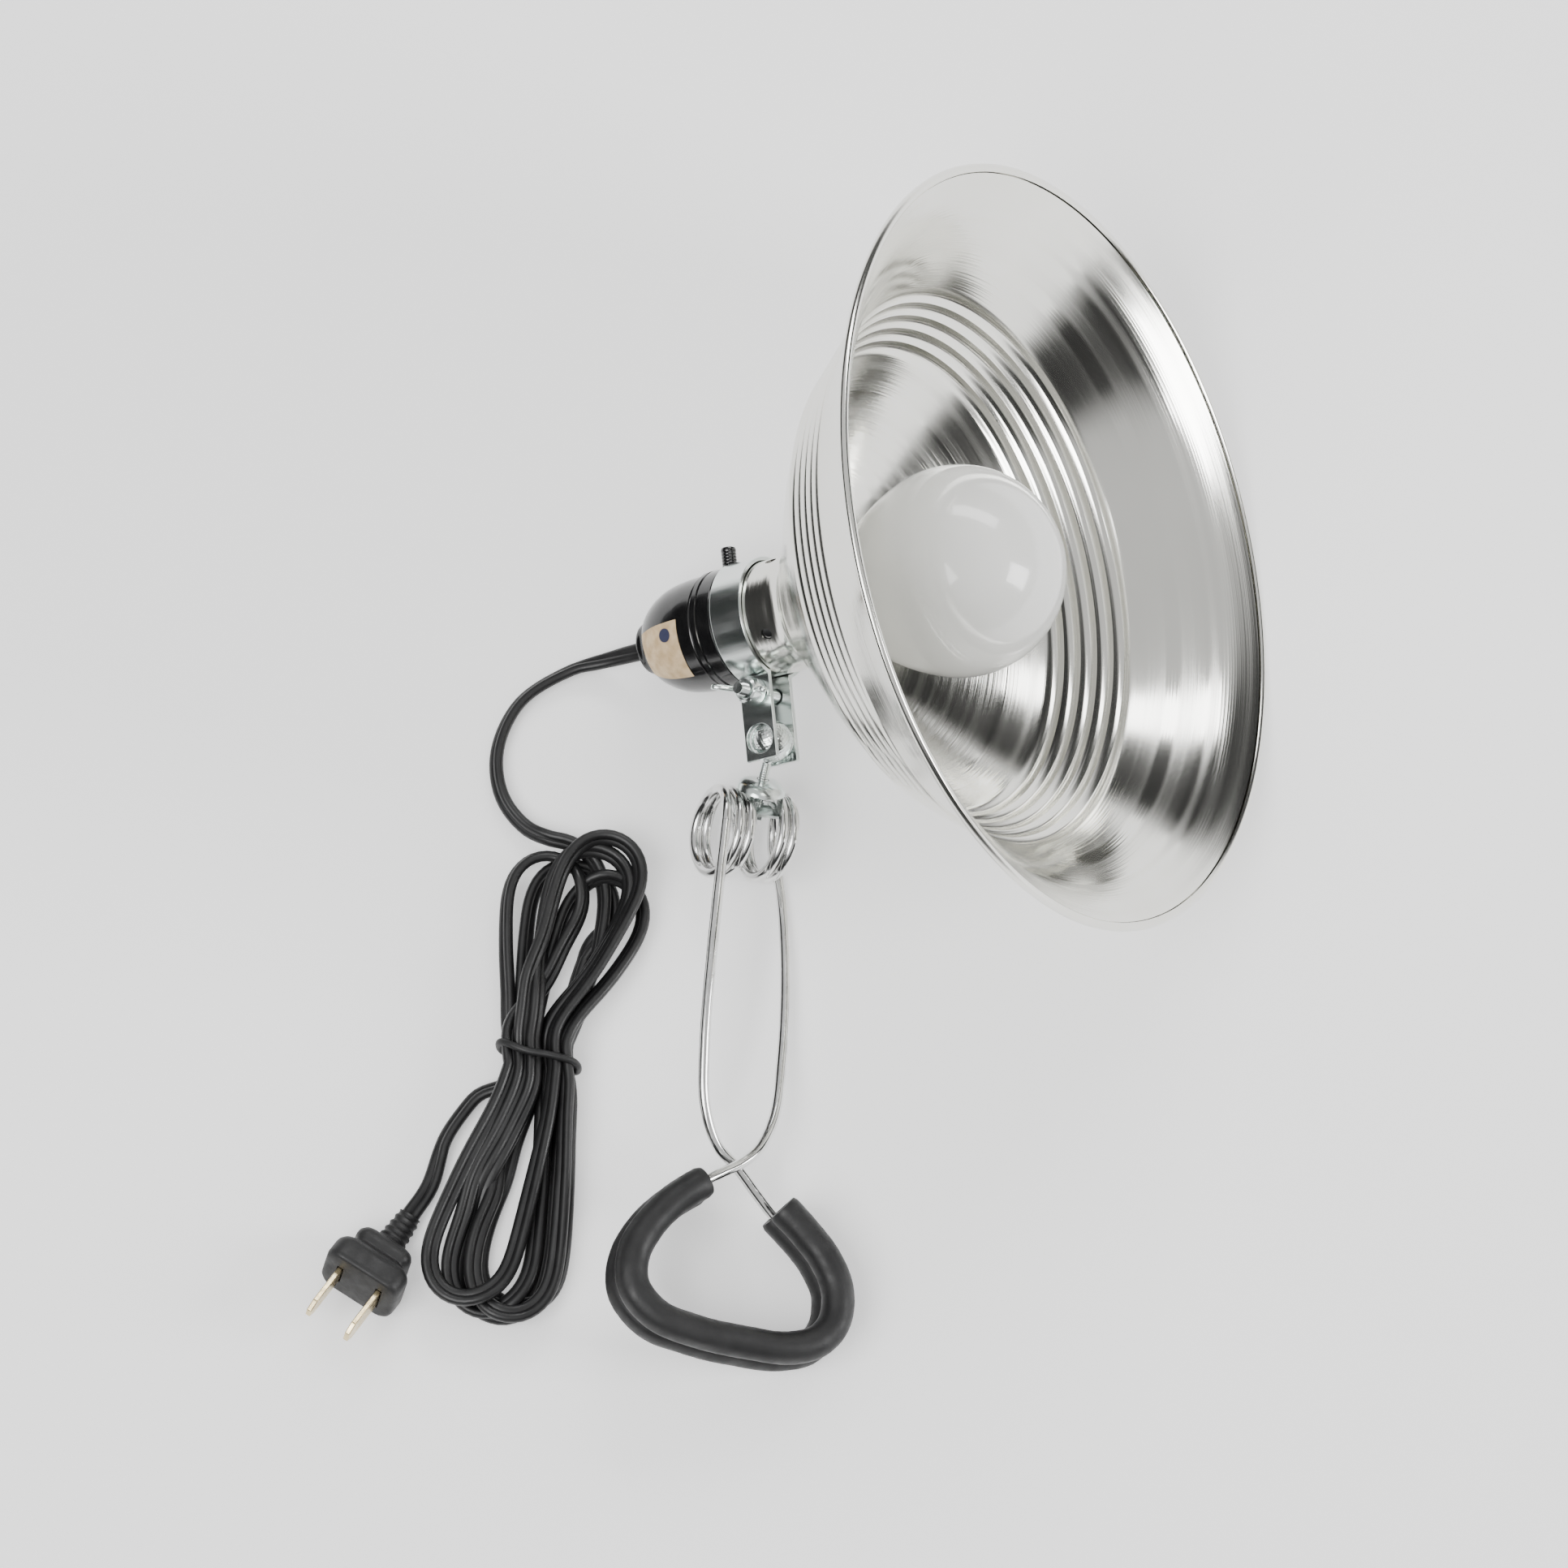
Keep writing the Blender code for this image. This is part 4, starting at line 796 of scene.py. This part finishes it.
def build_spring_clamp(looks):
    def coil_half(first, last):
        return [coil_point(t) for t in np.arange(first, last + 0.1, 5.0)]

    for name, first, last, body, end in (("coil_right", COIL_START, COIL_MIDDLE, "jaw_b", RIGHT_END),
                                         ("coil_left", COIL_MIDDLE, COIL_FINISH, "jaw_a", LEFT_END)):
        half = finish_piece(name, rod_shape(coil_half(first, last), WIRE, 18), looks["chrome"], None, CLAMP,
                            ["spring_coil"])
        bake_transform(half)

    lower = [(x, y, -JAW_LIFT) for x, y in reversed(JAW)]
    upper = [(x, y, JAW_LIFT) for x, y in JAW]
    for letter, handle, jaw in (("a", HANDLE_LEFT, lower), ("b", HANDLE_RIGHT, upper)):
        route = smooth_path(handle + jaw, 0.0012)
        start = min(range(len(route)), key=lambda i: (route[i] - Vector(jaw[0])).length)
        body = f"jaw_{letter}"
        finish_piece(f"clamp_arm_{letter}", rod_shape(route[:-8], WIRE, 18), looks["chrome"], body, CLAMP,
                     [f"jaw_wire_{letter}"])
        finish_piece(f"clamp_grip_{letter}", sleeve_shape(route[start:], ord(letter) * 7.0),
                     looks["vinyl"], body,
                     CLAMP, [f"jaw_sleeve_{letter}"])


# === cord =======================================================================================

CORD_TO_HANK = [(-0.0851, 0.0462, 0.01155), (-0.0898, 0.0459, 0.0084), (-0.0964, 0.0451, 0.0048),
                (-0.1054, 0.0429, 0.0031), (-0.1198, 0.0335, 0.0030), (-0.1264, 0.0189, 0.0030),
                (-0.1248, 0.0053, 0.0030), (-0.1181, -0.0037, 0.0034), (-0.1116, -0.0073, 0.0052)]
WAIST = Vector((-0.11375, -0.0722, 0.0080))
STRAND_PITCH = 0.0031
LAYERS = (0.0052, 0.0108)
SETTLING_STEPS, STRANDS_APART, MOST_MOVE = 140, 0.0037, 0.0006
# top and bottom loops of the hank: centre, radius, height, which way round, waist places in and out
UP, DOWN = 1, -1
TURNS = [
    (DOWN, (-0.1190, -0.1330), 0.0110, 0.0045, 1, (5, 0), (2, 0)),
    (UP, (-0.0950, -0.0300), 0.0109, 0.0060, 1, (2, 0), (5, 1)),
    (DOWN, (-0.1208, -0.1355), 0.0112, 0.0082, 1, (5, 1), (1, 0)),
    (UP, (-0.1050, -0.0255), 0.0108, 0.0040, 1, (1, 0), (4, 0)),
    (DOWN, (-0.1240, -0.1350), 0.0111, 0.0040, 1, (4, 0), (2, 1)),
    (UP, (-0.0990, -0.0225), 0.0108, 0.0090, 1, (2, 1), (3, 0)),
    (DOWN, (-0.1275, -0.1340), 0.0112, 0.0070, 1, (3, 0), (1, 1)),
    (UP, (-0.0957, -0.0198), 0.0109, 0.0122, 1, (1, 1), (4, 1)),
    (DOWN, (-0.1330, -0.1315), 0.0112, 0.0105, 1, (4, 1), (0, 1)),
    (UP, (-0.1116, -0.0240), 0.0109, 0.0075, -1, (0, 1), (0, 0)),
]


def waist_point(place, below=0.0):
    column, layer = place
    return Vector((WAIST.x + (column - 2.5) * STRAND_PITCH, WAIST.y + below, LAYERS[layer]))


def hank_points():
    """The hank's line from its first point after the lead to its last one before the plug's lead."""
    points = [Vector((-0.1045, -0.0093, 0.0056)), Vector((-0.0985, -0.0142, 0.0052)),
              Vector((-0.0955, -0.0240, 0.0048)), Vector((-0.0985, -0.0450, 0.0046)),
              waist_point((5, 0), 0.006), waist_point((5, 0), -0.006)]
    for end, centre, radius, height, way, place_in, place_out in TURNS:
        middle = Vector((*centre, height))
        axis = (middle - WAIST) * Vector((1, 1, 0))
        axis.normalize()
        right = Vector((axis.y, -axis.x, 0))
        first = waist_point(place_in, 0.006 * end)
        last = waist_point(place_out, 0.006 * end)
        side = -right * way
        points += half_turn(first, last, middle, axis, side, radius)
        points.append(waist_point(place_out, -0.006 * end))
    return points


def half_turn(first, last, middle, axis, side, radius):
    """From the waist out round one end loop and back to the waist."""
    entry, leave = middle + side * radius, middle - side * radius
    points = [first.lerp(entry, 0.5) + side * 0.0012]
    for a in np.radians((0, 40, 75, 105, 140, 180)):
        points.append(middle + radius * (side * cos(a) + axis * sin(a)))
    points.append(leave.lerp(last, 0.5) - side * 0.0012)
    return points + [last]


def relief_path():
    """The strain relief's centre line: straight out of the plug's back, then down to level."""
    rise = atan2(PLUG_OUT.z, Vector((PLUG_OUT.x, PLUG_OUT.y)).length)
    start = PLUG @ Vector((0, 0, -0.0163))
    level = -Vector((PLUG_OUT.x, PLUG_OUT.y, 0)).normalized()
    bend = 0.0290
    centre = start + bend * (level * sin(rise) + Vector((0, 0, cos(rise))))
    return [centre - bend * (level * sin(a) + Vector((0, 0, cos(a)))) for a in np.linspace(rise, 0, 7)]


def settled(points):
    """Push the strands apart where they cross, over and beside each other, as laid cord does."""
    flat = np.array([tuple(p) for p in points])
    fixed = np.zeros(len(flat), bool)
    fixed[:64] = fixed[-24:] = True
    fixed |= (np.abs(flat[:, 1] - WAIST.y) < 0.005) & (flat[:, 0] > -0.127)
    spacing = float(np.linalg.norm(np.diff(flat, axis=0), axis=1).mean())
    index = np.arange(len(flat))
    far_along = np.abs(index[:, None] - index[None, :]) > 5
    for _ in range(SETTLING_STEPS):
        gap = flat[:, None, :] - flat[None, :, :]
        gap[..., 2] *= 1.15
        distance = np.sqrt((gap ** 2).sum(2)) + 1e-9
        close = (distance < STRANDS_APART) & far_along
        push = np.where(close, (STRANDS_APART - distance) / distance, 0.0)[..., None] * gap
        move = push.sum(1) * 0.22
        bend = np.zeros_like(flat)
        bend[2:-2] = (flat[:-4] + flat[4:]) * -1 / 6 + (flat[1:-3] + flat[3:-1]) * 4 / 6 - flat[2:-2]
        move += bend * 0.35
        move[fixed] = 0.0
        flat = flat + np.clip(move, -MOST_MOVE, MOST_MOVE)
        for _ in range(2):
            along = flat[1:] - flat[:-1]
            size = np.linalg.norm(along, axis=1)[:, None]
            shift = along * (size - spacing) / size * 0.35
            free = (~fixed).astype(float)[:, None]
            flat[:-1] += shift * free[:-1]
            flat[1:] -= shift * free[1:]
        low = np.where(fixed, flat[:, 2], 0.0021)
        flat[:, 2] = np.clip(flat[:, 2], low, 0.0136)
    return [Vector(p) for p in flat]


def cord_section(roll):
    """The flat two-core cord's outline: two round cores side by side with a groove between."""
    half = CORD_THICK / 2
    offset = CORD_WIDTH / 2 - half
    outline = []
    for side in (1, -1):
        for a in np.radians(np.linspace(-126, 126, 9)):
            outline.append((side * (offset + half * cos(a)), side * half * sin(a)))
        outline.append((0.0, side * half * 0.66))
    return [(x * cos(roll) - y * sin(roll), x * sin(roll) + y * cos(roll)) for x, y in outline]


def cord_roll(z, target):
    """How far the cord can stand on edge at this height without going below the surface."""
    half, wide = CORD_THICK / 2, CORD_WIDTH / 2
    room = max((z - 0.0003) ** 2 - half ** 2, 0.0) / (wide ** 2 - half ** 2)
    return min(target, float(np.arcsin(sqrt(min(room, 1.0)))))


def build_cord(looks):
    relief = relief_path()
    way = (relief[-1] - relief[-2]).normalized()
    to_plug = [relief[-1] + way * 0.0003, relief[-1] + way * 0.010 + Vector((0, 0, 0.0001)),
               Vector((-0.1402, -0.0950, 0.0031)), Vector((-0.1347, -0.0865, 0.0032)),
               Vector((-0.1309, -0.0823, 0.0036))]
    route = [Vector(p) for p in CORD_TO_HANK] + hank_points() + to_plug[::-1]
    line = resampled(settled(smooth_path(route, 0.0022)), 0.0020)
    pairs, sections = [], []
    for i, (point, tangent) in enumerate(zip(line, tangents_of(line))):
        side = Vector((0, 0, 1)).cross(tangent).normalized()
        pairs.append((side, tangent.cross(side)))
        target = radians(44 + 20 * sin(i * 0.041) + 8 * sin(i * 0.113))
        if i < 10:
            target *= i / 10
        if i > len(line) - 12:
            target *= (len(line) - 1 - i) / 12
        sections.append(cord_section(cord_roll(point.z, target)))
    cord = finish_piece("flat_cord", skinned(line, pairs, sections), looks["cord"], "head", None,
                        ["cord_to_hank", "cord_to_plug", "cord_hank"])
    tie = build_tie(looks)
    return cord, line, tie


def build_tie(looks):
    """A thin tie round the hank's waist, laid on a slant."""
    points = []
    for a in np.linspace(0, 2 * pi, 73)[:-1]:
        wide, tall = abs(cos(a)) ** 0.72, abs(sin(a)) ** 0.72
        points.append(Vector((WAIST.x + 0.0112 * wide * (1 if cos(a) >= 0 else -1),
                              WAIST.y - 0.0034 * cos(a) + 0.0004 * sin(3 * a),
                              0.0081 + 0.0067 * tall * (1 if sin(a) >= 0 else -1))))
    shape = bmesh.new()
    rings = []
    for i, point in enumerate(points):
        tangent = (points[(i + 1) % len(points)] - points[i - 1]).normalized()
        side = tangent.cross(Vector((0, 1, 0))).normalized()
        up = tangent.cross(side)
        rings.append([shape.verts.new(point + 0.0011 * (cos(b) * side + sin(b) * up))
                      for b in np.linspace(0, 2 * pi, 15)[:-1]])
    for i in range(len(rings)):
        near, far = rings[i], rings[(i + 1) % len(rings)]
        for k in range(14):
            j = (k + 1) % 14
            shape.faces.new((near[k], near[j], far[j], far[k]))
    return finish_piece("cord_tie", shape, looks["vinyl"], "head", None, ["hank_tie"])


# === plug =======================================================================================

def rounded_loop(half_wide, half_tall, corner, count=9):
    loop = []
    for sx, sy, a in ((1, 1, 0), (-1, 1, 90), (-1, -1, 180), (1, -1, 270)):
        centre = ((half_wide - corner) * sx, (half_tall - corner) * sy)
        loop += arc(centre, corner, radians(a), radians(a + 90), count)
    return loop


def build_plug(looks):
    sizes = [(0.86, 0.0), (0.93, -0.0002), (0.975, -0.0007), (1.0, -0.0018), (1.0, -0.0058), (0.985, -0.0068),
             (0.93, -0.0080), (0.83, -0.0089), (0.73, -0.0096), (0.68, -0.0104), (0.69, -0.0110),
             (0.735, -0.0118),
             (0.75, -0.0128), (0.74, -0.0140), (0.68, -0.0152), (0.58, -0.0159), (0.44, -0.0163)]
    shape = bmesh.new()
    rings = []
    loop = rounded_loop(0.0118, 0.0086, 0.0044)
    for size, z in sizes:
        rings.append([shape.verts.new((x * size, y * size, z)) for x, y in loop])
    for near, far in zip(rings, rings[1:]):
        for i in range(len(loop)):
            j = (i + 1) % len(loop)
            shape.faces.new((near[i], near[j], far[j], far[i]))
    shape.faces.new(rings[0])
    shape.faces.new(rings[-1])
    body = finish_piece("plug_shell", shape, looks["vinyl"], "head", PLUG, ["plug_body"])
    tools = []
    blades = []
    for side, name, width in ((-1, "live", 0.0063), (1, "neutral", 0.0079)):
        x, half = side * 0.00635, width / 2
        pocket = extruded([(x - 0.00105, -half - 0.0003), (x + 0.00105, -half - 0.0003),
                           (x + 0.00105, half + 0.0003), (x - 0.00105, half + 0.0003)], -0.0063, 0.002)
        tools.append(pocket)
        outline = [(-half, -0.0060), (half, -0.0060), (half, 0.0132), (half * 0.45, 0.0161),
                   (-half * 0.45, 0.0161),
                   (-half, 0.0132)]
        blade = extruded(outline, -0.00075, 0.00075)
        stand = Matrix(((0, 0, 1), (1, 0, 0), (0, 1, 0)))
        bmesh.ops.transform(blade, matrix=stand.to_4x4(), verts=blade.verts)
        bmesh.ops.translate(blade, vec=(x, 0, 0), verts=blade.verts)
        made = finish_piece(f"blade_{name}", blade, looks["brass"], "head", PLUG,
                            [f"plug_blade_{name}"])
        rounded_edges(made, 0.0003, 3)
        blades.append(made)
    cut(body, tools)

    path = resampled(relief_path(), 0.0004)
    sections = []
    for i in range(len(path)):
        along = i / (len(path) - 1)
        rib = 0.00045 * max(0.0, sin(2 * pi * (along * 5.0 + 0.1))) ** 0.6
        wide = 0.0041 - 0.0010 * along + rib
        tall = 0.0037 - 0.0011 * along + rib
        sections.append([(wide * cos(b), tall * sin(b)) for b in np.linspace(0, 2 * pi, 33)[:-1]])
    pairs = []
    for tangent in tangents_of(path):
        side = Vector((0, 0, 1)).cross(tangent).normalized()
        pairs.append((side, tangent.cross(side)))
    relief = finish_piece("plug_relief", skinned(path, pairs, sections), looks["vinyl"], "head", None,
                          ["plug_strain_relief"], 50)
    return [body, relief, *blades]


# === assembly ===================================================================================

KEPT = {"fibre": ["switch_body", "insulator_disc"],
        "brass": ["terminal_screw_live", "terminal_screw_neutral", "centre_contact", "screw_shell",
                  "switch_carriage", "bulb_contact"],
        "phenolic": ["bulb_insulator"], "clear": ["bulb_stem"],
        "tungsten": ["bulb_lead_a", "bulb_lead_b", "bulb_filament"],
        "zinc": ["coil_saddle", "stem_nut"]}


def main():
    add_camera()
    add_studio()
    floor = bpy.data.meshes.new("floor")
    floor.from_pydata([(-3, -3, 0), (3, -3, 0), (3, 3, 0), (-3, 3, 0)], [], [(0, 1, 2, 3)])
    ground = bpy.data.objects.new("floor", floor)
    bpy.context.scene.collection.objects.link(ground)
    plain = Look("floor_look", (0.93, 0.93, 0.93), 0.9, emission_strength=0.50)
    plain.set("Emission Color", (1.0, 1.0, 1.0, 1.0))
    plain.roughness_from(plain.noise(3.0), 0.85, 0.95)
    floor.materials.append(plain.material)
    looks = make_looks()
    build_reflector(looks)
    build_socket(looks)
    build_bulb(looks)
    build_band(looks)
    build_ball_joint(looks)
    build_spring_clamp(looks)
    cord, line, tie = build_cord(looks)
    plug = build_plug(looks)
    for look, names in KEPT.items():
        for name in names:
            frame["nodes"][name].data.materials.clear()
            frame["nodes"][name].data.materials.append(looks[look])


main()
